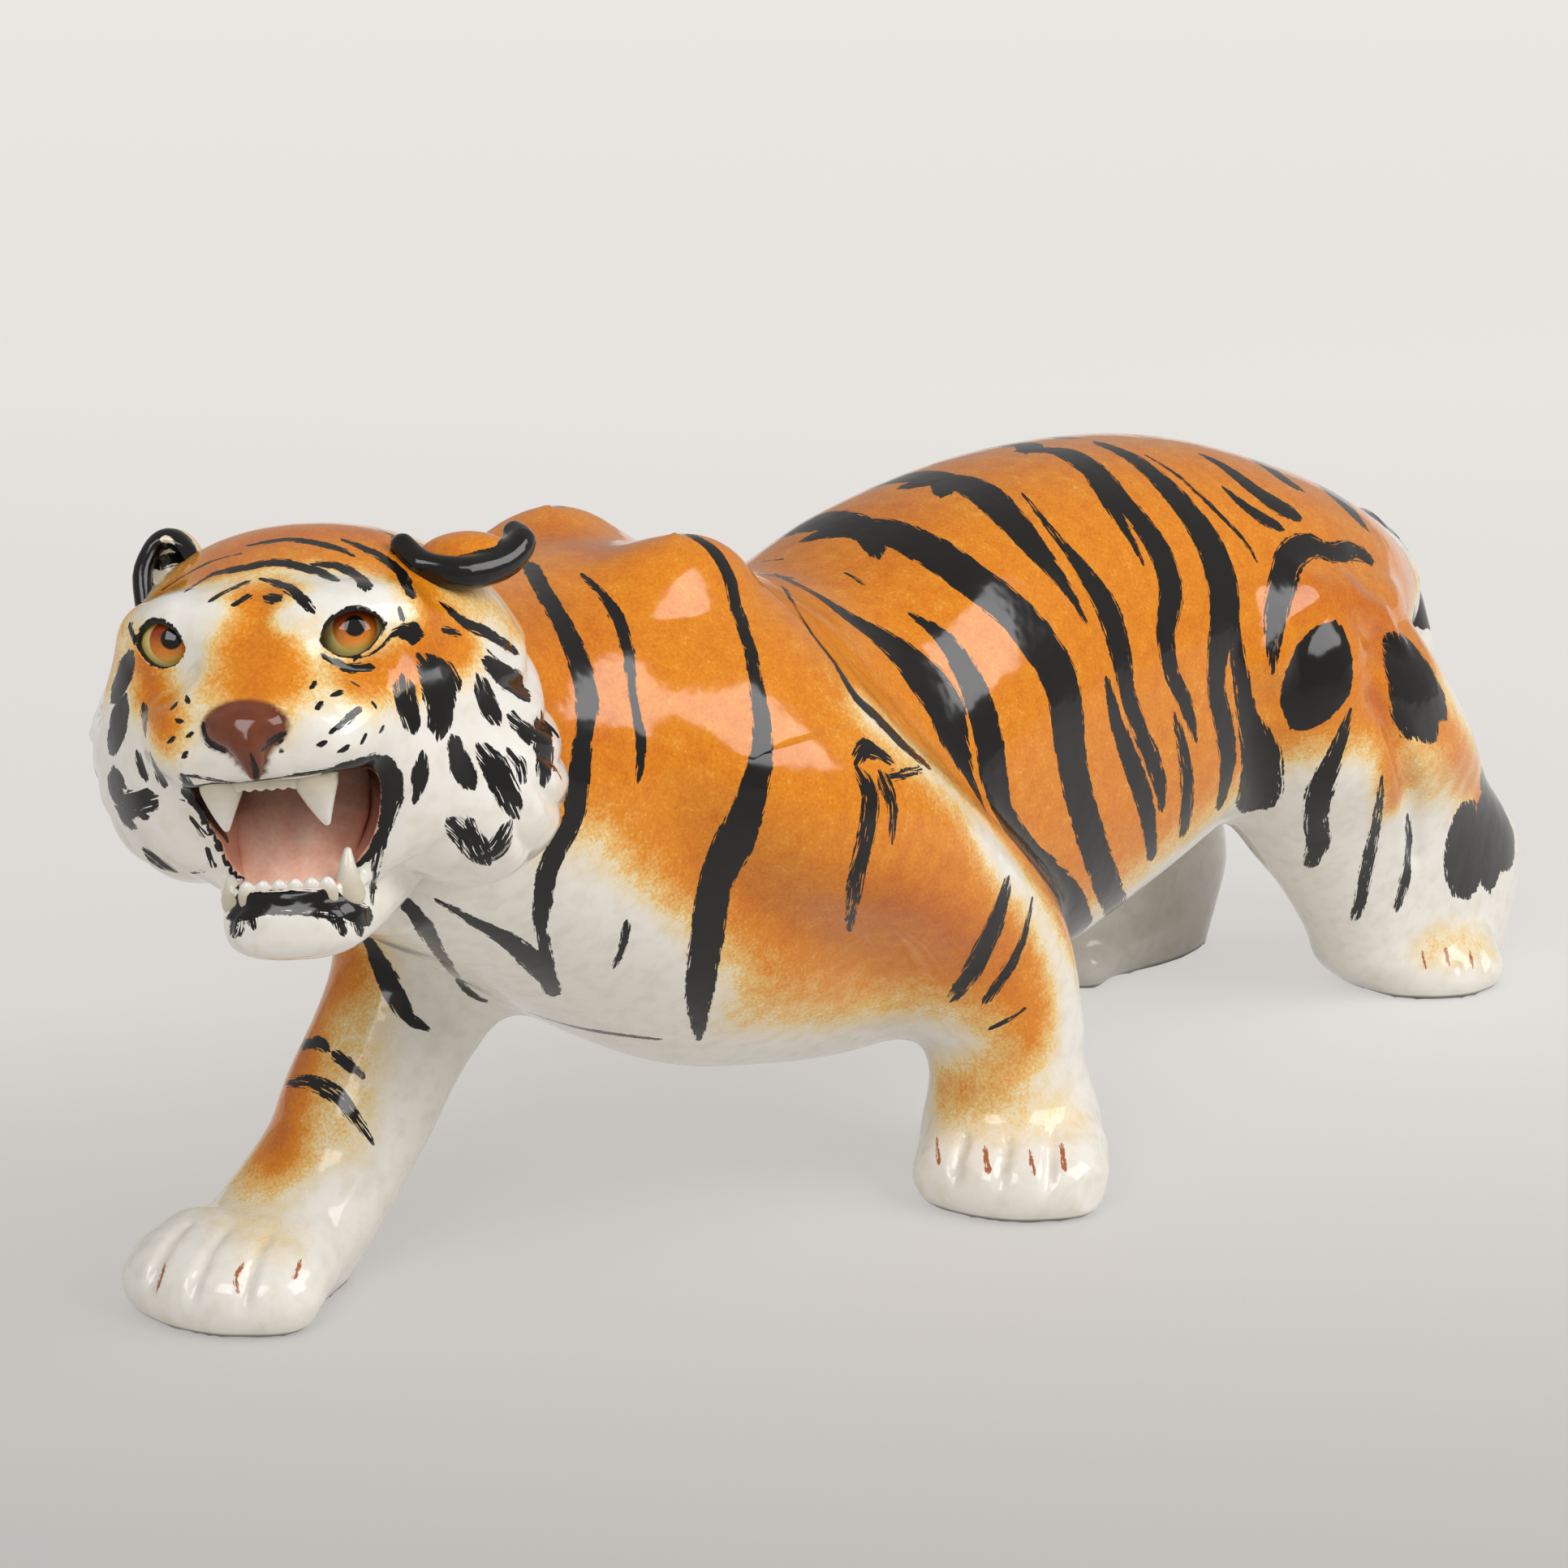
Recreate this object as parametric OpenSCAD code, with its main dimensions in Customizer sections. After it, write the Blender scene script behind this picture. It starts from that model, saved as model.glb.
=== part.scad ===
// Prowling tiger, slip-cast in pieces, luted together, painted and glazed.
// The head looks along -X and a little to the tiger's left (-Y); +Z is up and the soles stand on z = 0.
// Every casting is a loft through a few stations. A piece that is luted on is cut to the form under it.

/* [Torso] */
// Wall of the hollow castings
cast_wall = 7; // [5:0.5:9]
// Place along the body where the neck ends inside the head
neck_x = -212; // [-220:1:-200]
// Width of the neck
neck_w = 94; // [84:1:104]
// Height of the top of the neck
neck_top = 194; // [186:1:200]
// Height of the throat
throat_z = 112; // [104:1:118]
// Place of the shoulders
shoulder_x = -118; // [-126:1:-110]
// Width across the shoulders
shoulder_w = 126; // [118:1:134]
// Height of the withers
withers_top = 195; // [188:1:202]
// Height of the lowest point of the chest
brisket_z = 44; // [40:1:50]
// Place of the dip behind the withers
dip_x = -48; // [-56:1:-40]
// Width of the rib cage behind the shoulders
rib_w = 122; // [114:1:130]
// Height of the back in the dip
dip_top = 173; // [166:1:180]
// Height of the belly under the dip
belly_z = 35; // [31:1:41]
// Place of the loin
loin_x = 35; // [25:1:45]
// Width of the waist
waist_w = 116; // [106:1:126]
// Height of the loin
loin_top = 191; // [184:1:198]
// Height of the belly under the loin
loin_belly_z = 40; // [36:1:50]
// Place of the hips
hip_x = 118; // [110:1:126]
// Width across the hips
hip_w = 116; // [108:1:124]
// Height of the top of the rump
rump_top = 186; // [180:1:192]
// Height of the groin
groin_z = 66; // [58:1:74]
// Place of the croup, where the back falls to the tail
croup_x = 192; // [186:1:198]
// Width of the croup
croup_w = 88; // [80:1:96]
// Height of the croup
croup_top = 160; // [154:1:166]
// Height of the underside of the croup
croup_z = 84; // [78:1:90]
// Place of the end of the rump
rump_end_x = 232; // [226:1:238]
// Diameter of the kiln vent in the belly
vent_d = 9; // [6:0.5:12]

/* [Head] */
// Place of the middle of the skull along the body
head_x = -231; // [-235:1:-227]
// Place of the middle of the skull across the body
head_y = -10; // [-14:1:-6]
// Height of the middle of the skull
head_z = 167; // [164:1:170]
// Turn of the head to the tiger's left, degrees
head_turn = 39; // [35:1:43]
// Tilt of the head to the tiger's right, degrees
head_tilt = 5; // [2:1:8]
// Width across the back of the skull
skull_w = 108; // [103:1:113]
// Height of the skull
skull_h = 87; // [83:1:91]
// Height of the skull's own middle above the head's
skull_rise = 7.5; // [6:0.5:9]
// Half-width of a cheek's ruff
ruff_w = 24; // [22:0.5:26]
// Half-height of a cheek's ruff
ruff_h = 25; // [23:0.5:27]
// Half-length of a cheek's ruff
ruff_len = 28; // [26:0.5:30]
// Distance of the left ruff's middle from the middle of the face
ruff_left = 37; // [35:0.5:39]
// Distance of the right ruff's middle, which is pressed back in the turn
ruff_right = 31; // [29:0.5:33]
// How far the left ruff's middle hangs below the head's
ruff_drop = 13; // [11:0.5:15]
// How far the turn of the head lifts the right ruff
ruff_lift = 7; // [5:0.5:9]
// Length of the skull from its middle to its back
skull_back = 44; // [40:1:48]
// Width of the face at the eyes
face_w = 85; // [81:1:89]
// Width of the muzzle
muzzle_w = 54; // [50:1:58]
// Height of the muzzle
muzzle_h = 24; // [22:1:26]
// Reach of the nose ahead of the skull's middle
nose_reach = 62; // [58:1:66]
// Width of the nose pad
nose_w = 19; // [16:1:22]
// Diameter of the eyeballs
eye_d = 17; // [15:0.5:19]
// Clearance between an eyeball and its socket
eye_fit = 0.3; // [0.2:0.05:0.5]
// Distance between the eyes' middles
eye_gap = 43; // [40:1:46]
// Height of the eyes above the skull's middle
eye_up = 33; // [31:1:35]
// Reach of the eyes ahead of the skull's middle
eye_reach = 33; // [31:0.5:35]
// Thickness of the rolled eyelids
lid_t = 4; // [3:0.2:5]
// Distance between the ears' middles
ear_gap = 72; // [68:1:76]
// Width of an ear
ear_w = 26; // [23:1:29]
// Length of an ear from its root to its tip
ear_len = 24; // [20:1:28]
// Thickness of an ear's rolled rim
ear_t = 7; // [6:0.5:8]

/* [Mouth] */
// Width of the open mouth
mouth_w = 42; // [38:1:46]
// Opening between the upper and lower lips
gape = 30; // [27:1:33]
// Height of the upper lip above the skull's middle
lip_up = 6; // [4:0.5:8]
// Depth of the mouth behind its lips
mouth_depth = 40; // [36:1:44]
// Reach of the chin ahead of the skull's middle
chin_reach = 48; // [45:1:51]
// Thickness of the lower jaw under the mouth
jaw_t = 18; // [16:0.5:20]
// Width of the lower jaw
jaw_w = 40; // [37:1:43]
// Thickness of the tongue
tongue_t = 8; // [7:0.5:10]
// Width of the tongue
tongue_w = 28; // [24:1:32]
// Length of the upper canines
upper_fang = 12; // [10:0.5:14]
// Length of the lower canines
lower_fang = 10; // [8:0.5:12]
// Diameter of a canine at its root
fang_d = 8; // [7:0.2:9]
// Height of the incisors
incisor_h = 3; // [2:0.2:4]
// How far a tooth's root sits in its gum
tooth_root = 3; // [2:0.2:4]

/* [Front legs] */
// Distance of the left front paw from the middle plane
left_front_y = 54; // [50:1:58]
// Distance of the right front paw from the middle plane
right_front_y = 44; // [40:1:48]
// Place of the left front paw, which is set back
left_front_x = -12; // [-18:1:-6]
// Place of the right front paw, which reaches forward
right_front_x = -206; // [-212:1:-200]
// Width of a front paw
front_paw_w = 54; // [50:1:58]
// Length of a front paw
front_paw_len = 70; // [64:1:76]
// Height of a front paw's toes
front_paw_h = 24; // [21:1:27]
// Width of the wrist
wrist_w = 40; // [37:1:44]
// Width of the elbow
elbow_w = 48; // [44:1:52]
// Height of the elbow
elbow_z = 78; // [72:1:84]
// Width of the upper arm
arm_w = 58; // [54:1:62]

// Share of the way to the left paw that its elbow has come
left_bend = 0.8; // [0.74:0.01:0.86]
// Share of the way to the right paw that its elbow has come
right_bend = 0.26; // [0.2:0.01:0.32]
// Turn of the left front toes away from the middle plane, degrees
left_splay = 30; // [20:1:36]
// Turn of the right front toes away from the middle plane, degrees
right_splay = -6; // [-12:1:2]

/* [Hind legs] */
// Distance of the hind feet from the middle plane
hind_stance = 42; // [39:1:45]
// Place of the left hind foot, which is set back
left_hind_x = 212; // [206:1:218]
// Place of the right hind foot, which steps forward
right_hind_x = 164; // [158:1:170]
// Width of a hind foot
hind_paw_w = 46; // [42:1:50]
// Length of a hind foot from hock to toes
hind_paw_len = 96; // [90:1:102]
// Height of a hind foot's toes
hind_paw_h = 20; // [18:1:23]
// Height of the hock
hock_z = 26; // [23:1:30]
// Height of the knee
knee_z = 118; // [112:1:124]
// Width of the thigh
thigh_w = 58; // [54:1:62]
// Half-length of the thigh along the body
thigh_len = 48; // [45:1:51]

// Turn of the left hind toes away from the middle plane, degrees
left_hind_splay = 58; // [52:1:64]

/* [Tail] */
// Diameter of the tail at its root
tail_d = 30; // [26:1:33]
// Diameter of the tail at its tip
tail_tip_d = 17; // [14:1:20]
// Height at which the tail ends behind the thigh
tail_end_z = 34; // [28:1:40]
// How far the tail hangs out behind the rump
tail_arch = 21; // [18:1:24]
// How far the tail sways to the left
tail_sway = 8; // [6:1:10]

/* [Hidden] */
// The middle of the overall length and of the overall width comes to the origin
origin_x = -11.4;
origin_y = -4.3;
// How full the ovals of the lofts are: 2 is an ellipse, more comes nearer to a rectangle
fullness = 2.25;
// Directions that the lofts run along
AFT = [1, 0, 0];
AHEAD = [-1, 0, 0];
DOWN = [0, 0, -1];
// Glaze colours of the castings
orange = "#DB8A2B";
white = "#E8E4DC";
pink = "#C88370";
amber = "#A8581F";

// Number of the station before the place t
function span(t, last) = min(floor(t), last - 1);

// A smooth curve through the rows of P at place t, from 0 to len(P) - 1
function through(P, t) = let (last = len(P) - 1, i = span(t, last), f = t - i)
    let (a = P[max(i - 1, 0)], b = P[i], c = P[i + 1], d = P[min(i + 2, last)])
    0.5 * (2 * b + (c - a) * f + (2 * a - 5 * b + 4 * c - d) * f * f + (3 * b - a - 3 * c + d) * f * f * f);

function spot(row) = [row[0], row[1], row[2]];

// A share of a half-size, drawn out towards the corners of its oval
function full(share) = sign(share) * pow(abs(share), 2 / fullness);

// One ring of a loft: a full oval of half-sizes row[3] across and row[4] up, in the plane of u and w
function oval(row, u, w, sides, grow) = [for (k = [0:sides - 1])
    let (a = 360 * k / sides)
    spot(row) + u * (row[3] + grow) * full(cos(a)) + w * (row[4] + grow) * full(sin(a))];

// A ring drawn in and pushed out along the loft, for a rounded end
function end_ring(row, u, w, out, sides, grow, bend, cap) =
    let (r = [each spot(row) + out * cap * sin(bend),
        (row[3] + grow) * cos(bend) - grow, (row[4] + grow) * cos(bend) - grow])
    oval(r, u, w, sides, grow);

// All rings of a loft through the stations P, square to the direction along, with rounded ends
function rings(P, along, steps, sides, grow, cap) =
    let (last = len(P) - 1, u = [0, 1, 0], w = cross(along, u))
    [for (bend = [80, 52, 26]) end_ring(P[0], u, w, -along, sides, grow, bend, cap + grow),
     for (k = [0:steps]) oval(through(P, last * k / steps), u, w, sides, grow),
     for (bend = [26, 52, 80]) end_ring(P[last], u, w, along, sides, grow, bend, cap + grow)];

// A closed solid over a list of rings
module skin(R) {
    sides = len(R[0]);
    count = len(R);
    points = [for (ring = R) each ring];
    faces = [
        [for (k = [0:sides - 1]) k],
        for (j = [0:count - 2], k = [0:sides - 1])
            let (a = j * sides + k, b = j * sides + (k + 1) % sides)
            each [[a, a + sides, b + sides], [a, b + sides, b]],
        [for (k = [sides - 1:-1:0]) (count - 1) * sides + k]
    ];
    polyhedron(points, faces);
}

// A loft through the stations P, grown by a distance, with rounded ends of length cap
module loft(P, along, steps, sides, cap, grow = 0) {
    skin(rings(P, along, steps, sides, grow, cap));
}

// A station of the torso from its place, width, top and bottom
function trunk(x, w, top, bottom) = [x, 0, (top + bottom) / 2, w / 2, (top - bottom) / 2];

TORSO = [
    trunk(neck_x, neck_w, neck_top, throat_z),
    trunk((neck_x + shoulder_x) / 2, (neck_w + shoulder_w) / 2, (neck_top + withers_top) / 2 + 2,
        (throat_z + brisket_z) / 2 + 4),
    trunk(shoulder_x, shoulder_w, withers_top, brisket_z + 8),
    trunk((shoulder_x + dip_x) / 2, (shoulder_w + rib_w) / 2, (withers_top + dip_top) / 2, brisket_z - 3),
    trunk(dip_x, rib_w, dip_top, belly_z),
    trunk((dip_x + loin_x) / 2, (rib_w + waist_w) / 2, (dip_top + loin_top) / 2 + 3,
        (belly_z + loin_belly_z) / 2 - 2),
    trunk(loin_x, waist_w, loin_top, loin_belly_z),
    trunk((loin_x + hip_x) / 2, (waist_w + hip_w) / 2, (loin_top + rump_top) / 2 + 2,
        (loin_belly_z + groin_z) / 2 - 2),
    trunk(hip_x, hip_w, rump_top, groin_z),
    trunk((hip_x + croup_x) / 2, (hip_w + croup_w) / 2 + 4, (rump_top + croup_top) / 2 + 2,
        (groin_z + croup_z) / 2),
    trunk(croup_x, croup_w, croup_top, croup_z),
    trunk(rump_end_x, croup_w * 0.5, croup_top - 22, croup_z + 14)
];

module torso_form() {
    loft(TORSO, AFT, 27, 28, 10);
}

module torso() {
    color(orange)
    difference() {
        torso_form();
        loft(TORSO, AFT, 11, 12, 10, -cast_wall);
        translate([loin_x, 0, loin_belly_z - 10])
            cylinder(d = vent_d, h = cast_wall + 24, $fn = 32);
    }
}

// The head's own frame: -X ahead, -Y to the tiger's left, at the middle of the skull
module on_head() {
    translate([head_x, head_y, head_z])
        rotate([-head_tilt, 0, head_turn])
            children();
}

// A station of the head from its reach ahead, rise, width and height
function face(reach, rise, w, h) = [-reach, 0, rise, w / 2, h / 2];

muzzle_rise = lip_up + muzzle_h / 2;
HEAD = [
    face(-skull_back, skull_rise * -0.13, skull_w * 0.74, skull_h * 0.85),
    face(-skull_back * 0.65, skull_rise * 0.4, skull_w * 0.95, skull_h),
    face(-skull_back * 0.27, skull_rise, skull_w, skull_h),
    face(0, skull_rise * 1.2, skull_w * 0.98, skull_h * 0.98),
    face(eye_reach * 0.45, skull_rise * 1.2, skull_w * 0.91, skull_h * 0.93),
    face(eye_reach * 0.85, skull_rise * 1.1, face_w, skull_h * 0.88),
    face(eye_reach * 1.09, skull_rise, face_w * 0.86, skull_h * 0.81),
    face(eye_reach * 1.24, skull_rise * 0.6 + muzzle_rise * 0.4, (face_w + muzzle_w) * 0.45, skull_h * 0.63),
    face(nose_reach * 0.76, muzzle_rise, muzzle_w, muzzle_h * 1.4),
    face(nose_reach * 0.86, muzzle_rise, muzzle_w * 0.78, muzzle_h * 1.05),
    face(nose_reach * 0.92, muzzle_rise, nose_w * 1.5, muzzle_h * 0.72)
];

// Stations of a cheek's ruff: an egg on the side of the skull, on side s
function ruff(s, out, rise) = [for (a = [-66:22:66])
    [-ruff_len * sin(a), s * out, rise, ruff_w * cos(a), ruff_h * cos(a)]];

module head_form() {
    loft(HEAD, AHEAD, 16, 22, 4);
    loft(ruff(-1, ruff_left, -ruff_drop), AHEAD, 6, 12, ruff_len * 0.09);
    loft(ruff(1, ruff_right, ruff_lift - ruff_drop), AHEAD, 6, 12, ruff_len * 0.09);
}

// The hollow of the mouth, between the palate and the bed of the lower jaw
MOUTH = [
    [-nose_reach - 8, 0, lip_up - gape / 2, mouth_w / 2 - 2, gape / 2],
    [-chin_reach + 8, 0, lip_up - gape / 2, mouth_w / 2, gape / 2],
    [-chin_reach + mouth_depth * 0.6, 0, lip_up - gape / 2 + 1, mouth_w / 2 - 3, gape / 2 - 3],
    [-chin_reach + mouth_depth, 0, lip_up - gape / 2 + 2, mouth_w / 2 - 11, gape / 2 - 9]
];

module mouth_hollow() {
    loft(MOUTH, AFT, 6, 10, 5);
}

function eye_spot(s) = [-eye_reach, s * eye_gap / 2, eye_up];

module eyeball(s, fit = 0) {
    on_head()
        translate(eye_spot(s))
            sphere(d = eye_d + 2 * fit, $fn = 16);
}

// A rolled lid round an eye: a ring of short rounded lengths, longer than it is high
module eyelids(s) {
    count = 9;
    long = eye_d * 0.62;
    high = eye_d * 0.5;
    lid = [for (k = [0:count - 1]) let (a = 360 * k / count)
        eye_spot(s) + [-eye_d * 0.3 + 4 * abs(cos(a)), s * long * cos(a), high * sin(a)]];
    for (k = [0:count - 1])
        hull() {
            translate(lid[k])
                sphere(d = lid_t, $fn = 6);
            translate(lid[(k + 1) % count])
                sphere(d = lid_t, $fn = 6);
        }
}

// The nose pad stands a little proud of the muzzle's end
module nose_pad() {
    hull() {
        for (s = [-1, 1])
            translate([-nose_reach + 3, s * nose_w * 0.32, lip_up + muzzle_h * 0.68])
                sphere(d = nose_w * 0.4, $fn = 10);
        translate([-nose_reach + 4, 0, lip_up + muzzle_h * 0.22])
            sphere(d = nose_w * 0.25, $fn = 8);
    }
}

module head_hollow() {
    loft([for (k = [0:2]) HEAD[k]], AHEAD, 4, 12, 2, -cast_wall * 1.4);
}

module head() {
    color(orange)
    difference() {
        on_head()
            union() {
                head_form();
                eyelids(-1);
                eyelids(1);
                nose_pad();
            }
        on_head() {
            mouth_hollow();
            head_hollow();
        }
        jaw_form();
        eyeball(-1, eye_fit);
        eyeball(1, eye_fit);
        torso_form();
        teeth_roots(1);
    }
}

// The lower jaw hangs under the mouth from the cheeks to the chin
jaw_top = lip_up - gape;
JAW = [
    [6, 0, jaw_top + 2, jaw_w / 2, jaw_t * 0.6],
    [-chin_reach * 0.4, 0, jaw_top - 3, jaw_w / 2 + 1, jaw_t * 0.62],
    [-chin_reach * 0.75, 0, jaw_top - 5, jaw_w / 2 - 1, jaw_t * 0.64],
    [-chin_reach + 4, 0, jaw_top - 5, jaw_w / 2 - 5, jaw_t * 0.52]
];

module jaw_form() {
    on_head()
        loft(JAW, AHEAD, 8, 16, 5);
}

module lower_jaw() {
    color(white)
    difference() {
        jaw_form();
        on_head()
            mouth_hollow();
        torso_form();
        tongue_form();
        teeth_roots(-1);
    }
}

// The tongue lies in the jaw and swells towards its tip
TONGUE = [
    [-chin_reach + mouth_depth * 0.85, 0, jaw_top + 5, tongue_w / 2 - 4, tongue_t / 2],
    [-chin_reach + mouth_depth * 0.5, 0, jaw_top + 4, tongue_w / 2, tongue_t / 2],
    [-chin_reach + 12, 0, jaw_top + 3, tongue_w / 2 - 3, tongue_t / 2]
];

module tongue_form() {
    on_head()
        loft(TONGUE, AHEAD, 6, 14, 5);
}

module tongue() {
    color(pink)
        tongue_form();
}

// A canine: a turned cone with a round tip, its root sunk in the gum below its own origin
module fang(length, root_d) {
    rotate_extrude($fn = 16)
        polygon([[0, -tooth_root], [root_d * 0.36, -tooth_root], [root_d * 0.5, 0],
            [root_d * 0.42, length * 0.4], [root_d * 0.24, length * 0.8],
            [root_d * 0.1, length], [0, length]]);
}

fang_gap = mouth_w / 2 - fang_d * 0.5 - 5;
lower_fang_gap = jaw_w / 2 - fang_d * 0.5 - 4;

module upper_canine(s) {
    on_head()
        translate([-chin_reach - 2, s * fang_gap, lip_up + 0.5])
            rotate([180, 0, 0])
                fang(upper_fang, fang_d);
}

module lower_canine(s) {
    on_head()
        translate([-chin_reach + 6, s * lower_fang_gap, jaw_top + 3])
            fang(lower_fang, fang_d * 0.85);
}

// A low strip of incisors between the canines: a bar in the gum with a row of rounded teeth
module incisors(gap, reach, rise, up) {
    count = 6;
    pitch = (2 * gap - fang_d - 1) / count;
    on_head()
        translate([-reach, 0, rise])
            rotate([up < 0 ? 180 : 0, 0, 0]) {
                translate([-pitch / 2, -pitch * count / 2, -tooth_root])
                    cube([pitch, pitch * count, tooth_root]);
                for (k = [0:count - 1])
                    translate([0, (k - (count - 1) / 2) * pitch, -0.5])
                        cylinder(d1 = pitch * 0.94, d2 = pitch * 0.72, h = incisor_h + 0.5, $fn = 16);
            }
}

module upper_teeth() {
    incisors(fang_gap, chin_reach + 4, lip_up, -1);
}

module lower_teeth() {
    incisors(lower_fang_gap, chin_reach - 3, jaw_top + 3, 1);
}

// The sockets that the teeth fill, above the mouth or below it
module teeth_roots(side) {
    if (side > 0) {
        upper_canine(-1);
        upper_canine(1);
        upper_teeth();
    } else {
        lower_canine(-1);
        lower_canine(1);
        lower_teeth();
    }
}

// An ear laid back: a cupped leaf with a thick rolled rim, cut to the head
module ear_form(s) {
    count = 9;
    rim = [for (k = [0:count]) let (a = 180 * k / count)
        [ear_len * 0.62 * sin(a) - 4, s * ear_w * 0.44 * cos(a), ear_len * 0.30 * sin(a)]];
    translate([12, s * ear_gap / 2, skull_rise + skull_h * 0.34])
        rotate([s * -16, 0, s * 12]) {
            for (k = [0:count - 1])
                hull() {
                    translate(rim[k])
                        sphere(d = ear_t, $fn = 10);
                    translate(rim[k + 1])
                        sphere(d = ear_t, $fn = 10);
                }
            hull()
                for (p = rim)
                    translate(p + [1, 0, -1])
                        sphere(d = ear_t * 0.5, $fn = 6);
        }
}

module ear(s) {
    color(orange)
    difference() {
        on_head()
            ear_form(s);
        on_head()
            head_form();
        torso_form();
    }
}

// Four toes across the front of a paw, each with its claw ridge
module toes(width, height, reach) {
    count = 4;
    pitch = width * 0.23;
    for (k = [0:count - 1]) {
        off = k - (count - 1) / 2;
        ahead = reach - 3.2 * off * off;
        hull() {
            translate([-ahead * 0.55, off * pitch * 0.9, height * 0.55])
                sphere(d = height * 0.8, $fn = 8);
            translate([-ahead, off * pitch, height * 0.36])
                sphere(d = height * 0.72, $fn = 8);
        }
        hull() {
            translate([-ahead - height * 0.2, off * pitch, height * 0.62])
                sphere(d = height * 0.16, $fn = 5);
            translate([-ahead - height * 0.34, off * pitch, height * 0.3])
                sphere(d = height * 0.12, $fn = 5);
        }
    }
}

// Everything under the soles is cut away, so each paw stands flat
module floor_cut() {
    depth = front_paw_len;
    translate([neck_x * 2, -shoulder_w * 2, -depth])
        cube([rump_end_x * 2 - neck_x * 2, shoulder_w * 4, depth]);
}

// A front leg from the shoulder blade to the paw, on side s, with its paw at x.
// bend says how much of the way to the paw the elbow has come
function front_leg(x, y, s, bend) = let (lean = x - shoulder_x, upper_arm = withers_top - elbow_z)
    [
        [shoulder_x, s * shoulder_w * 0.19, elbow_z + upper_arm * 0.91, arm_w * 0.21, arm_w * 0.38],
        [shoulder_x, s * shoulder_w * 0.33, elbow_z + upper_arm * 0.75, arm_w * 0.33, arm_w * 0.55],
        [shoulder_x + lean * bend * 0.14, s * shoulder_w * 0.41, elbow_z + upper_arm * 0.55,
            arm_w * 0.43, arm_w * 0.67],
        [shoulder_x + lean * bend * 0.45, s * shoulder_w * 0.44, elbow_z + upper_arm * 0.31,
            arm_w * 0.45, arm_w * 0.71],
        [shoulder_x + lean * bend * 0.96, s * (y * 0.7 + shoulder_w * 0.12), elbow_z,
            elbow_w * 0.48, elbow_w * 0.67],
        [shoulder_x + lean * (0.4 + 0.62 * bend), s * y, elbow_z * 0.62, wrist_w * 0.53, wrist_w * 0.63],
        [shoulder_x + lean * (0.56 + 0.44 * bend), s * y, front_paw_h * 1.42, wrist_w * 0.53, wrist_w * 0.58],
        [x - front_paw_len * 0.02, s * y, front_paw_h * 0.5, front_paw_w * 0.45, front_paw_len * 0.38],
        [x - front_paw_len * 0.03, s * y, 0, front_paw_w * 0.47, front_paw_len * 0.40]
    ];

module front_leg_form(x, y, s, bend, splay) {
    loft(front_leg(x, y, s, bend), DOWN, 14, 16, 20);
    translate([x - front_paw_len * 0.03, s * y, 0])
        rotate([0, 0, -s * splay])
            toes(front_paw_w, front_paw_h, front_paw_len * 0.45);
}

module leg_casting(P) {
    difference() {
        children();
        torso_form();
        floor_cut();
        loft([for (k = [0:len(P) - 3]) P[k]], DOWN, 6, 10, 14, -cast_wall);
    }
}

module front_leg_left() {
    color(white)
        leg_casting(front_leg(left_front_x, left_front_y, -1, left_bend))
            front_leg_form(left_front_x, left_front_y, -1, left_bend, left_splay);
}

module front_leg_right() {
    color(white)
        leg_casting(front_leg(right_front_x, right_front_y, 1, right_bend))
            front_leg_form(right_front_x, right_front_y, 1, right_bend, right_splay);
}

// A hind leg from the haunch over the knee to the hock and foot, on side s, with its foot at x
function hind_leg(x, s) = let (lean = x - hip_x)
    [
        [hip_x + lean * 0.26, s * hip_w * 0.36, knee_z * 1.1, thigh_w * 0.36, thigh_len * 0.74],
        [hip_x + lean * 0.28, s * hip_w * 0.43, knee_z * 0.98, thigh_w * 0.42, thigh_len * 0.83],
        [hip_x + lean * 0.42, s * hip_w * 0.43, knee_z * 0.76, thigh_w * 0.48, thigh_len],
        [hip_x + lean * 0.62, s * hind_stance, knee_z * 0.55, thigh_w * 0.46, thigh_len * 1.15],
        [x - hind_paw_len * 0.15, s * hind_stance, hock_z * 1.6, hind_paw_w * 0.5, hind_paw_len * 0.58],
        [x - hind_paw_len * 0.05, s * hind_stance, hock_z * 0.92, hind_paw_w * 0.48, hind_paw_len * 0.52],
        [x - hind_paw_len * 0.04, s * hind_stance, hind_paw_h * 0.55, hind_paw_w * 0.5, hind_paw_len * 0.44],
        [x, s * hind_stance, 0, hind_paw_w * 0.5, hind_paw_len * 0.31]
    ];

module hind_leg_form(x, s) {
    loft(hind_leg(x, s), DOWN, 14, 16, 20);
    translate([hip_x + (x - hip_x) * 0.05, s * (hip_w * 0.5), knee_z])
        scale([thigh_w * 0.29, thigh_w * 0.24, thigh_w * 0.38])
            sphere(r = 1, $fn = 14);
}

module hind_leg_left() {
    color(white)
        leg_casting(hind_leg(left_hind_x, -1))
            union() {
                hind_leg_form(left_hind_x, -1);
                translate([left_hind_x, -hind_stance, 0])
                    rotate([0, 0, left_hind_splay])
                        toes(hind_paw_w, hind_paw_h, hind_paw_len * 0.3);
            }
}

module hind_leg_right() {
    color(white)
        leg_casting(hind_leg(right_hind_x, 1))
            union() {
                hind_leg_form(right_hind_x, 1);
                translate([right_hind_x - hind_paw_w * 0.26, hind_stance, 0])
                    toes(hind_paw_w, hind_paw_h, hind_paw_len * 0.36);
            }
}

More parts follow.
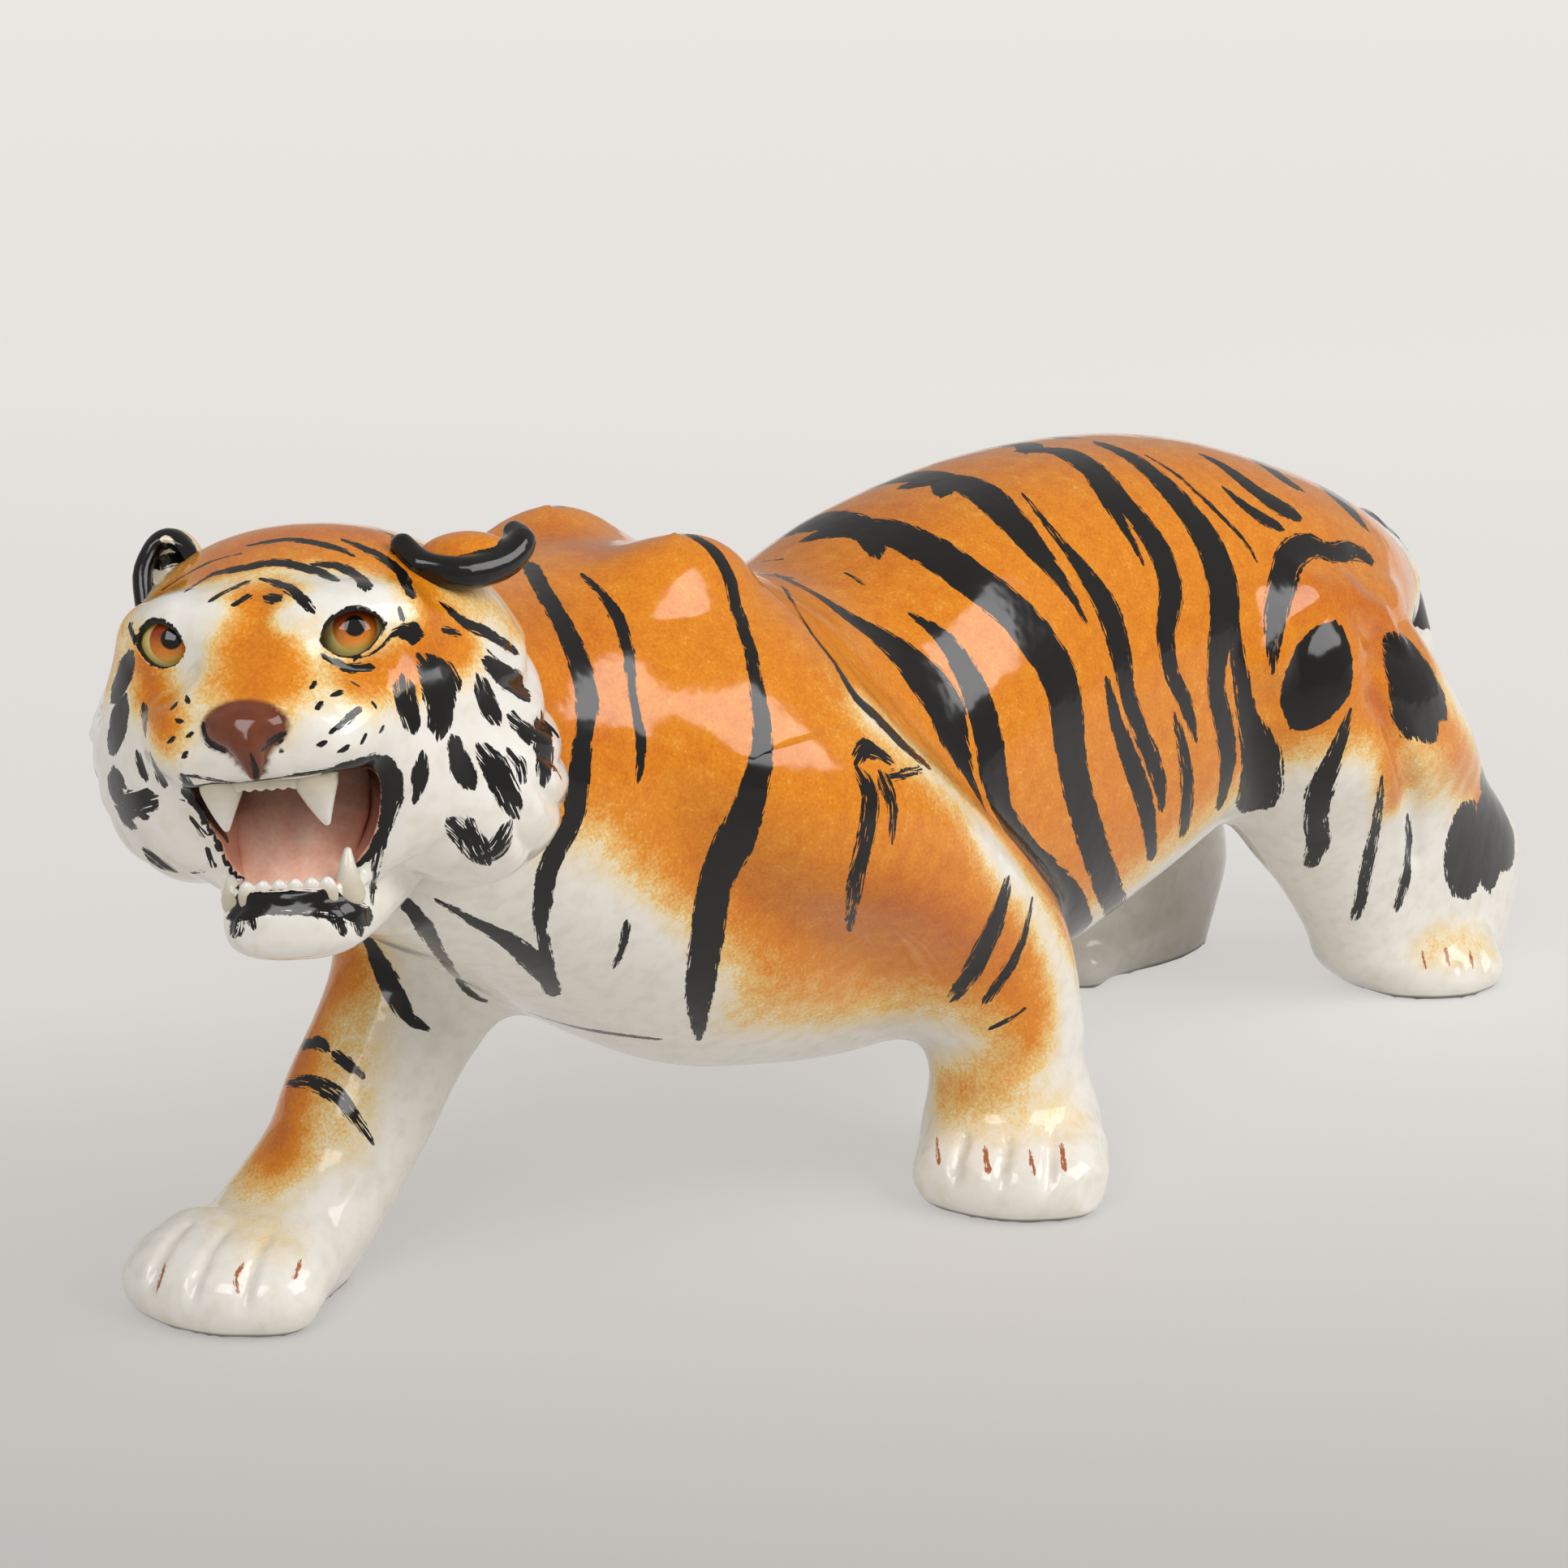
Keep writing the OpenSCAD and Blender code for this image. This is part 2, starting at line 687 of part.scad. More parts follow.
// The tail hangs from the rump behind the left thigh: a chain of rounded lengths along a curve
tail_drop = croup_top - tail_end_z;
TAIL = [
    [croup_x - tail_d * 0.2, 0, croup_top - tail_d * 0.55, tail_d],
    [rump_end_x - tail_arch * 0.38, -tail_sway * 0.12, croup_top - tail_d * 0.95, tail_d * 0.94],
    [rump_end_x + tail_arch * 0.62, -tail_sway * 0.38, croup_top - tail_drop * 0.45, tail_d * 0.86],
    [rump_end_x + tail_arch, -tail_sway * 0.75, croup_top - tail_drop * 0.72, tail_d * 0.74],
    [rump_end_x + tail_arch * 0.9, -tail_sway, tail_end_z, tail_tip_d]
];

module tail_form() {
    count = 12;
    link = [for (k = [0:count]) through(TAIL, (len(TAIL) - 1) * k / count)];
    for (k = [0:count - 1])
        hull() {
            translate(spot(link[k]))
                sphere(d = link[k][3], $fn = 12);
            translate(spot(link[k + 1]))
                sphere(d = link[k + 1][3], $fn = 12);
        }
}

module tail() {
    color(white)
    difference() {
        tail_form();
        torso_form();
        hind_leg_form(left_hind_x, -1);
        hind_leg_form(right_hind_x, 1);
    }
}

module eye(s) {
    color(amber)
        eyeball(s);
}

module standing() {
    translate([-origin_x, -origin_y, 0])
        children();
}

standing() torso();
standing() head();
standing() lower_jaw();
standing() tongue();
standing() ear(-1);  // ear_left
standing() ear(1);  // ear_right
standing() front_leg_left();
standing() front_leg_right();
standing() hind_leg_left();
standing() hind_leg_right();
standing() tail();
standing() upper_canine(-1);  // upper_canine_left
standing() upper_canine(1);  // upper_canine_right
standing() lower_canine(-1);  // lower_canine_left
standing() lower_canine(1);  // lower_canine_right
standing() upper_teeth();  // upper_incisors
standing() lower_teeth();  // lower_incisors
standing() eye(-1);  // eye_left
standing() eye(1);  // eye_right
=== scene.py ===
"""Prowling, snarling tiger in cast ceramic, painted by hand and glazed.

Sizes are in millimetres where nothing else is said.
"""
import logging
from dataclasses import dataclass, field
from enum import Enum
from functools import partial
from typing import Callable

import bpy
import numpy as np
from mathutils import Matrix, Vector
from mathutils.bvhtree import BVHTree


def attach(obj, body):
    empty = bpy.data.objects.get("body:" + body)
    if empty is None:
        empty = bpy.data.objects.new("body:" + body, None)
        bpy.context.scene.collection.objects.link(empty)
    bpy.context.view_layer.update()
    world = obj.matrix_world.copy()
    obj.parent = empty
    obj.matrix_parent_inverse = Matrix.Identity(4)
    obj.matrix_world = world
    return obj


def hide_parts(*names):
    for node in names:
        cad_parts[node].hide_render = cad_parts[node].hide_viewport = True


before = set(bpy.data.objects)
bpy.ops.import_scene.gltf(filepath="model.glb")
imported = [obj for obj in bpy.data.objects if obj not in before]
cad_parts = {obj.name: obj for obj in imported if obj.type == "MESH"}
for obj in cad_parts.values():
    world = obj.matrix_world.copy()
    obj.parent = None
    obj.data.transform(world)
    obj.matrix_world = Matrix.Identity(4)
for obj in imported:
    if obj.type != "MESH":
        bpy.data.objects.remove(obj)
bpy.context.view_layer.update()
LOG = logging.getLogger("tiger")
Array = np.ndarray
Field = Callable[[Array], Array]
# The body's mid-plane is y = 0 here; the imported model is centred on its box
SHIFT = np.array([11.4, 4.3, 0.0])
PER_METRE = 1000.0
FAR = 1e9
# Meshing: spacing of the first look and half-width of the band worked out in full, both in cells
COARSE = 4
BAND = 12
# How far a lap sinks under its neighbour, and the height over the floor below which points stay level
LAP_DIP = 0.3
FLOOR_CLEAR = 0.3


class Side(Enum):
    """The tiger's own sides, as the sign of y."""

    LEFT = -1
    RIGHT = 1


class Coat(Enum):
    """Colours that a brush lays on the biscuit."""

    INK = 0
    RUST = 2


class Limb(Enum):
    """What is painted: how far its mirror image on the other flank moves along the body at the sole, and from
    which height. A height of 0 means no mirror image, as on the head and where only one side is painted. The
    numbers of CHEEK, ONCE and BODY serve only to tell these apart.
    """

    HEAD = (0, 0)
    CHEEK = (0, 2)
    ONCE = (1, 0)
    BODY = (0, 1)
    FRONT = (-194, 150)
    HIND = (-48, 140)


# Shapes: signed distances in millimetres, less than 0 inside


def spline(rows: Array, count: int) -> Array:
    """Carries a smooth curve through rows of numbers: the cubic that passes through each row and takes its
    slope from the rows on both sides.

    Args:
        rows: one row a station.
        count: number of rows to return.

    Returns:
        The rows along the curve.
    """
    rows = np.asarray(rows, float)
    last = len(rows) - 1
    t = np.linspace(0, last, count)
    i = np.minimum(t.astype(int), max(last - 1, 0))
    f = (t - i)[:, None]
    a, b, c, d = (rows[np.clip(i + k, 0, last)] for k in (-1, 0, 1, 2))
    return 0.5 * (2 * b + (c - a) * f + (2 * a - 5 * b + 4 * c - d) * f**2 + (3 * b - a - 3 * c + d) * f**3)


def joined(a: Array, b: Array, soft: float) -> Array:
    """Joins two distances with a fillet: the smaller, less a parabola where they differ under soft."""
    h = np.clip(0.5 + 0.5 * (b - a) / soft, 0, 1)
    return b + (a - b) * h - soft * h * (1 - h)


def carved(a: Array, b: Array, soft: float) -> Array:
    """Cuts b out of a, with a rounded edge."""
    return -joined(-a, b, soft)


def ellipsoid(p: Array, centre: tuple, radii: tuple) -> Array:
    """Distance to an ellipsoid: the scaled radius less 1, over the length of its own gradient.

    Args:
        p: points.
        centre: its middle.
        radii: its three half-sizes.

    Returns:
        The signed distance of each point.
    """
    q = (p - np.array(centre)) / np.array(radii)
    k = np.linalg.norm(q, axis=1)
    return k * (k - 1) / np.maximum(np.linalg.norm(q / np.array(radii), axis=1), 1e-6)


def chain(p: Array, rows: list | Array) -> Array:
    """Distance to a round bar: the nearest of its straight tapered lengths.

    Args:
        p: points.
        rows: x, y, z and radius along the bar.

    Returns:
        The signed distance of each point.
    """
    rows = np.asarray(rows, float)
    best = np.full(len(p), FAR)
    for a, b in zip(rows[:-1], rows[1:]):
        ab = b[:3] - a[:3]
        t = np.clip((p - a[:3]) @ ab / max(ab @ ab, 1e-9), 0, 1)
        gap = np.linalg.norm(p - a[:3] - t[:, None] * ab, axis=1)
        best = np.minimum(best, gap - a[3] - t * (b[3] - a[3]))
    return best


@dataclass
class Loft:
    """A form carried along one axis: at each place a full oval whose centre and half-sizes run smoothly
    between stations, with rounded ends.

    Rows hold x, y, z, the half-size across (y) and the half-size along the remaining axis.
    """

    rows: list
    axis: int
    cap: float = 12.0
    fullness: float = 2.25
    stations: int = 160
    table: Array = field(init=False)

    def __post_init__(self) -> None:
        """Fills in the stations and rounds off both ends: the half-sizes shrink as the cosine of the bend."""
        t = spline(self.rows, self.stations)
        t = t[np.argsort(t[:, self.axis])]
        bend = np.radians(np.linspace(8, 88, 10))
        ends = []
        for row, way in ((t[0], -1), (t[-1], 1)):
            end = np.repeat(row[None], len(bend), axis=0)
            end[:, self.axis] += way * self.cap * np.sin(bend)
            end[:, 3:] *= np.cos(bend)[:, None]
            ends.append(end)
        self.table = np.concatenate([ends[0][::-1], t, ends[1]])

    def __call__(self, p: Array) -> Array:
        """Distance along the ray from the form's axis, less the oval's own radius there.

        Args:
            p: points.

        Returns:
            The signed distance of each point.
        """
        other = 2 - self.axis
        along = p[:, self.axis]
        at = lambda c: np.interp(along, self.table[:, self.axis], self.table[:, c])
        dy, do = p[:, 1] - at(1), p[:, other] - at(other)
        a, b = at(3), at(4)
        n = self.fullness
        q = ((np.abs(dy) / a) ** n + (np.abs(do) / b) ** n) ** (1 / n)
        d = np.hypot(dy, do) * (1 - 1 / np.maximum(q, 1e-3))
        d = np.where(q < 1e-2, -np.minimum(a, b), d)
        over = np.maximum(self.table[0, self.axis] - along, along - self.table[-1, self.axis])
        return np.where(over > 0, np.hypot(np.maximum(d, 0), np.maximum(over, 0)), d)


# Meshing


def surface_net(shape: Field, low: tuple, high: tuple, step: float) -> tuple[Array, Array]:
    """Wraps a shape in quads: one point a cell, at the mean of the crossings of the cell's edges, and one
    quad for each grid edge that crosses the surface.

    Args:
        shape: signed distance.
        low: lowest corner of the box that holds the shape.
        high: highest corner.
        step: size of a cell.

    Returns:
        Points and quads, facing outwards.
    """
    axes = [np.arange(lo - 2 * step, hi + 3 * step, step) for lo, hi in zip(low, high)]
    size = [len(a) for a in axes]
    grid = np.stack(np.meshgrid(*axes, indexing="ij"), -1)
    # A first look at every fourth place: only what lies near the surface is then worked out in full
    rough = grid[::COARSE, ::COARSE, ::COARSE]
    rough = shape(rough.reshape(-1, 3)).reshape(rough.shape[:3])
    look = [np.minimum((np.arange(n) + COARSE // 2) // COARSE, (n - 1) // COARSE) for n in size]
    flat = rough[np.ix_(*look)].ravel()
    edge = np.ones(size, bool)
    edge[1:-1, 1:-1, 1:-1] = False
    grid, edge = grid.reshape(-1, 3), edge.ravel()
    near = np.abs(flat) < BAND * step
    flat[near] = shape(grid[near])
    flat = np.where(edge, np.maximum(flat, 1e-3), flat)
    stride = np.array([size[1] * size[2], size[2], 1])
    number = np.arange(flat.size).reshape(size)
    cells, places, quads = [], [], []
    for axis in range(3):
        base = np.delete(number, -1, axis).ravel()
        v0, v1 = flat[base], flat[base + stride[axis]]
        cross = (v0 < 0) != (v1 < 0)
        base, v0, v1 = base[cross], v0[cross], v1[cross]
        place = grid[base].copy()
        place[:, axis] += step * v0 / (v0 - v1)
        b, c = stride[(axis + 1) % 3], stride[(axis + 2) % 3]
        quad = np.stack([base, base - b, base - b - c, base - c], 1)
        cells.append(quad.ravel())
        places.append(np.repeat(place, 4, axis=0))
        quads.append(np.where((v0 < 0)[:, None], quad, quad[:, ::-1]))
    used, back = np.unique(np.concatenate(cells), return_inverse=True)
    hits = np.bincount(back)
    place = np.concatenate(places)
    points = np.stack([np.bincount(back, weights=place[:, k]) / hits for k in range(3)], 1)
    return points, np.searchsorted(used, np.concatenate(quads))


def settled(points: Array, shape: Field, limit: float, rounds: int = 2) -> Array:
    """Moves points onto a surface along its slope: each step is the distance over the slope's length.

    Args:
        points: points near the surface.
        shape: signed distance.
        limit: longest step.
        rounds: number of steps.

    Returns:
        The moved points.
    """
    p = points.copy()
    eps = 0.15
    for _ in range(rounds):
        slope = np.stack([(shape(p + e) - shape(p - e)) / (2 * eps) for e in np.eye(3) * eps], 1)
        move = slope * (shape(p) / np.maximum((slope**2).sum(1), 1e-3))[:, None]
        p -= np.clip(move, -limit, limit)
    return p


def pieced(
        both: Callable[[Array], tuple[Array, Array]], low: tuple, high: tuple, step: float, lap: float,
        floor: float = -FAR) -> tuple[Array, Array]:
    """Meshes one piece of a joined form: the form up to a lap past the seam, dipped under its neighbour.

    Args:
        both: distance to the whole form, and the distance past the seam.
        low: lowest corner of the piece's box.
        high: highest corner.
        step: size of a cell.
        lap: how far the piece runs on past the seam.
        floor: height at which the form is cut level.

    Returns:
        Points and quads.
    """
    def dipped(p: Array) -> tuple[Array, Array]:
        """Distance to the dipped form, and the distance past the lap's end."""
        form, past = both(p)
        return form + LAP_DIP * np.clip(past / lap, 0, 1), past - lap

    points, quads = surface_net(lambda p: np.maximum(*dipped(p)), low, high, step)
    outer, past = dipped(points)
    free = (past < outer) & (points[:, 2] > floor + FLOOR_CLEAR)
    points[free] = settled(points[free], lambda p: dipped(p)[0], step * 0.5)
    points[:, 2] = np.maximum(points[:, 2], floor)
    return points, quads


@dataclass
class Skin:
    """One glazed piece: its points and quads in millimetres, and the Blender object made from them."""

    name: str
    nodes: tuple
    slot: str
    points: Array
    quads: Array
    marks: dict = field(default_factory=dict)
    thing: bpy.types.Object | None = None

    def build(self) -> None:
        """Makes the mesh, smooth shaded, and puts it in place of its solids."""
        mesh = bpy.data.meshes.new(self.name)
        mesh.from_pydata((self.points + SHIFT) / PER_METRE, [], self.quads.tolist())
        mesh.shade_smooth()
        mesh.update()
        self.thing = bpy.data.objects.new(self.name, mesh)
        bpy.context.scene.collection.objects.link(self.thing)
        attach(self.thing, "root")
        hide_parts(*self.nodes)
        LOG.info("%s: %d quads", self.name, len(self.quads))

    def note(self, name: str, kind: str, domain: str, values: Array) -> None:
        """Stores numbers on the mesh.

        Args:
            name: name of the attribute.
            kind: FLOAT, FLOAT_VECTOR or FLOAT_COLOR.
            domain: POINT or CORNER.
            values: one row a point or corner.
        """
        part = self.thing.data.attributes.new(name, kind, domain)
        key = {"FLOAT": "value", "FLOAT_VECTOR": "vector", "FLOAT_COLOR": "color"}[kind]
        part.data.foreach_set(key, np.ascontiguousarray(values, dtype=np.float32).ravel())


# Paint


def linear(code: str) -> tuple[float, float, float, float]:
    """Turns an sRGB hex colour into linear light.

    Args:
        code: the colour, as #RRGGBB.

    Returns:
        Red, green, blue and an alpha of 1.
    """
    c = np.array([int(code[k:k + 2], 16) for k in (1, 3, 5)]) / 255
    c = np.where(c < 0.04045, c / 12.92, ((c + 0.055) / 1.055) ** 2.4)
    return (*c.tolist(), 1.0)


def smooth(t: Array) -> Array:
    """Runs from 0 to 1 with level ends while t does."""
    t = np.clip(t, 0, 1)
    return t * t * (3 - 2 * t)


@dataclass(frozen=True)
class Stroke:
    """One pull of the brush: its path in pixels of the photograph, its half-widths in millimetres from start
    to end, its coat, and how dry the brush was.
    """

    path: str
    widths: tuple
    coat: Coat = Coat.INK
    dry: float = 0.2


@dataclass(frozen=True)
class Pass:
    """One pass of the airbrush: its path in pixels of the photograph, its radius in millimetres and its
    amount; a negative amount wipes colour off.
    """

    path: str
    radius: float
    amount: float


@dataclass
class Line:
    """A stroke laid on the surface: points, normals, half-widths in millimetres, and coat plus dryness."""

    points: Array
    normals: Array
    widths: Array
    load: float

    def place(self, q: Array) -> tuple[Array, Array, Array, Array, Array]:
        """Finds points' places beside the line, each from the nearest of its lengths.

        Args:
            q: points.

        Returns:
            Distance across with its sign, distance along, half-width there (less the distance past an end),
            straight distance and the number of the nearest length.
        """
        a, ab = self.points[:-1], np.diff(self.points, axis=0)
        long = np.maximum(np.linalg.norm(ab, axis=1), 1e-6)
        t = np.einsum("kmj,mj->km", q[:, None] - a, ab) / long**2
        away = q[:, None] - a - np.clip(t, 0, 1)[..., None] * ab
        gap = np.linalg.norm(away, axis=2)
        j = gap.argmin(1)
        k = np.arange(len(q))
        t, away = t[k, j], away[k, j]
        side = np.cross(self.normals[j], ab[j])
        side /= np.maximum(np.linalg.norm(side, axis=1), 1e-6)[:, None]
        over = np.where(j == 0, np.maximum(-t, 0), 0) + np.where(j == len(ab) - 1, np.maximum(t - 1, 0), 0)
        t = np.clip(t, 0, 1)
        width = self.widths[j] * (1 - t) + self.widths[j + 1] * t - over * long[j]
        start = np.concatenate([[0], np.cumsum(long)])[j]
        return (away * side).sum(1), start + t * long[j], width, gap[k, j], j


@dataclass
class Painter:
    """Looks along the photograph's rays and lays paint where they meet the castings."""

    studio: "Studio"
    skins: list
    head: "Head"
    # Pixels between two rays; then in millimetres: how far past a stroke's edge its numbers are stored, the
    # gap at which a path has left a form, and how far behind another form a point counts as hidden
    spacing: float = 7.0
    reach: float = 3.5
    leap: float = 22.0
    hidden: float = 3.0
    # Radii of a pass beyond which its bell curve counts as 0
    bell_end: float = 2.6

    def __post_init__(self) -> None:
        """Puts all castings into one search tree."""
        starts = np.cumsum([0] + [len(s.points) for s in self.skins])
        quads = np.concatenate([s.quads + k for s, k in zip(self.skins, starts)])
        points = np.concatenate([s.points for s in self.skins])
        self.tree = BVHTree.FromPolygons(points.tolist(), quads.tolist())

    def seen(self, path: str) -> tuple[Array, Array, Array]:
        """Follows a path over the photograph.

        Args:
            path: pixels, as x,y pairs.

        Returns:
            Points and normals where the rays meet the surface, and each one's share of the path; where the
            path leaps from one form to another, only its longest stretch.
        """
        px = np.array([p.split(",") for p in path.split()], float)
        span = np.linalg.norm(np.diff(px, axis=0), axis=1).sum()
        px = spline(px, int(span / self.spacing) + 2)
        eye = Vector(self.studio.place)
        hits = [self.tree.ray_cast(eye, Vector(d)) for d in self.studio.rays(px)]
        met = np.array([h[0] is not None for h in hits])
        if met.sum() < 2:
            return np.zeros((0, 3)), np.zeros((0, 3)), np.zeros(0)
        points = np.array([tuple(h[0]) for h in hits if h[0] is not None])
        normals = np.array([tuple(h[1]) for h in hits if h[0] is not None])
        normals *= np.where((normals @ np.array(self.studio.ahead)) > 0, -1, 1)[:, None]
        share = np.linspace(0, 1, len(hits))[met]
        run = np.cumsum(np.concatenate([[0], np.linalg.norm(np.diff(points, axis=0), axis=1) > self.leap]))
        longest = run == np.bincount(run.astype(int)).argmax()
        return points[longest], normals[longest], share[longest]

    def snapped(self, points: Array, limb: Limb) -> tuple[Array, Array, Array]:
        """Carries points to the other flank: y changes sign, a leg's stride moves them along the body by more
        the lower they are, and each drops to the nearest surface. On a cheek they change sides in the head's
        own frame, and only what the photograph doesn't show is kept.

        Args:
            points: points on the side that the photograph shows.
            limb: what they are painted on.

        Returns:
            Points and normals, and which of the given points they belong to.
        """
        stride, top = limb.value
        flip = points * [1, -1, 1]
        flip[:, 0] += stride * np.clip(1 - points[:, 2] / top, 0, 1)
        if limb is Limb.CHEEK:
            flip = self.head.world(self.head.local(points) * [1, -1, 1])
        hits = [self.tree.find_nearest(Vector(p)) for p in flip]
        kept = np.arange(len(hits))
        if limb is Limb.CHEEK:
            eye = Vector(self.studio.place)
            gaps = [self.tree.ray_cast(eye, h[0] - eye)[3] or FAR for h in hits]
            kept = np.array([k for k in kept if gaps[k] < (hits[k][0] - eye).length - self.hidden], int)
        return (np.array([tuple(hits[k][0]) for k in kept]).reshape(-1, 3),
                np.array([tuple(hits[k][1]) for k in kept]).reshape(-1, 3), kept)

    def lines(self, book: dict) -> list[Line]:
        """Lays all strokes, and again on the other flank where the limb has one.

        Args:
            book: for each limb, its named strokes.

        Returns:
            The laid lines.
        """
        made = []
        for limb, strokes in book.items():
            for name, stroke in strokes.items():
                points, normals, share = self.seen(stroke.path)
                if not len(points):
                    LOG.warning("%s meets nothing", name)
                    continue
                widths = np.interp(share, np.linspace(0, 1, len(stroke.widths)), stroke.widths)
                load = stroke.coat.value + stroke.dry
                made.append(Line(points, normals, widths, load))
                if limb.value[1]:
                    points, normals, kept = self.snapped(points, limb)
                    if len(kept) > 1:
                        made.append(Line(points, normals, widths[kept], load))
        return made

    def inked(self, skin: Skin, lines: list[Line]) -> Array:
        """Finds the two nearest strokes of each face.

        Args:
            skin: a casting.
            lines: all laid strokes.

        Returns:
            For both, for each face and corner: distance across, distance along, half-width and load.
        """
        corners = skin.points[skin.quads]
        centres = corners.mean(1)
        facing = np.cross(corners[:, 2] - corners[:, 0], corners[:, 3] - corners[:, 1])
        facing /= np.maximum(np.linalg.norm(facing, axis=1), 1e-9)[:, None]
        data = np.zeros((2, len(corners), 4, 4))
        # A half-width far below 0 stands for no stroke
        data[..., 2] = -100
        score = np.full((2, len(corners)), self.reach)
        for line in lines:
            grow = line.widths.max() + self.reach
            low, high = line.points.min(0) - grow, line.points.max(0) + grow
            face = np.flatnonzero(np.all((centres > low) & (centres < high), axis=1))
            if not len(face):
                continue
            _, _, width, gap, j = line.place(centres[face])
            near = (gap - width < self.reach) & ((facing[face] * line.normals[j]).sum(1) > 0)
            face, value = face[near], (gap - width)[near]
            if not len(face):
                continue
            u, v, w, _, _ = line.place(corners[face].reshape(-1, 3))
            new = np.stack([u, v, w, np.full(len(u), line.load)], 1).reshape(-1, 4, 4)
            best = value < score[0, face]
            first = face[best]
            data[1, first], score[1, first] = data[0, first], score[0, first]
            data[0, first], score[0, first] = new[best], value[best]
            late = ~best & (value < score[1, face])
            data[1, face[late]], score[1, face[late]] = new[late], value[late]
        return data

    def sprayed(self, p: Array, base: Array, book: dict) -> Array:
        """Adds airbrush passes: what stays bare is multiplied by 1 less the pass's bell curve of distance,
        and a wiping pass multiplies what is covered instead.

        Args:
            p: points.
            base: cover before, from 0 to 1.
            book: for each limb, its named passes.

        Returns:
            Cover after all passes.
        """
        cover = base.copy()
        for limb, passes in book.items():
            for spray in passes.values():
                lines = [self.seen(spray.path)[0][::2]]
                if limb.value[1] and len(lines[0]):
                    lines.append(self.snapped(lines[0], limb)[0])
                for line in filter(len, lines):
                    grow = self.bell_end * spray.radius
                    near = np.flatnonzero(np.all((p > line.min(0) - grow) & (p < line.max(0) + grow), axis=1))
                    gap = np.linalg.norm(p[near][:, None] - line, axis=2).min(1)
                    bell = abs(spray.amount) * np.exp(-((gap / spray.radius) ** 2))
                    if spray.amount > 0:
                        cover[near] = 1 - (1 - cover[near]) * (1 - bell)
                    else:
                        cover[near] *= 1 - bell
        return cover

    def dress(self, skin: Skin, lines: list[Line], base: Array, limbs: tuple) -> None:
        """Stores a casting's paint on its mesh.

        Args:
            skin: the casting.
            lines: the strokes that may touch it.
            base: stain before the airbrush passes.
            limbs: whose passes may touch it.
        """
        orange, rust = ({k: book[k] for k in limbs} for book in (ORANGE_PASSES, RUST_PASSES))
        none = np.zeros(len(skin.points))
        stain = self.sprayed(skin.points, base, orange)
        glow = self.sprayed(skin.points, none, rust)
        skin.note("tint", "FLOAT_COLOR", "POINT", np.stack(
            [stain, glow * stain, skin.marks.get("ink", none), skin.marks.get("nose", none)], 1))
        skin.note("mouth", "FLOAT", "POINT", skin.marks.get("mouth", none))
        for name, data in zip(("stroke_a", "stroke_b"), self.inked(skin, lines)):
            skin.note(name, "FLOAT_COLOR", "CORNER", data)


# Castings


def leg_rows(side: Side, rows: list) -> list:
    """Puts a leg's stations on its side: the second number is the distance from the mid-plane."""
    return [[x, side.value * y, z, a, b] for x, y, z, a, b in rows]


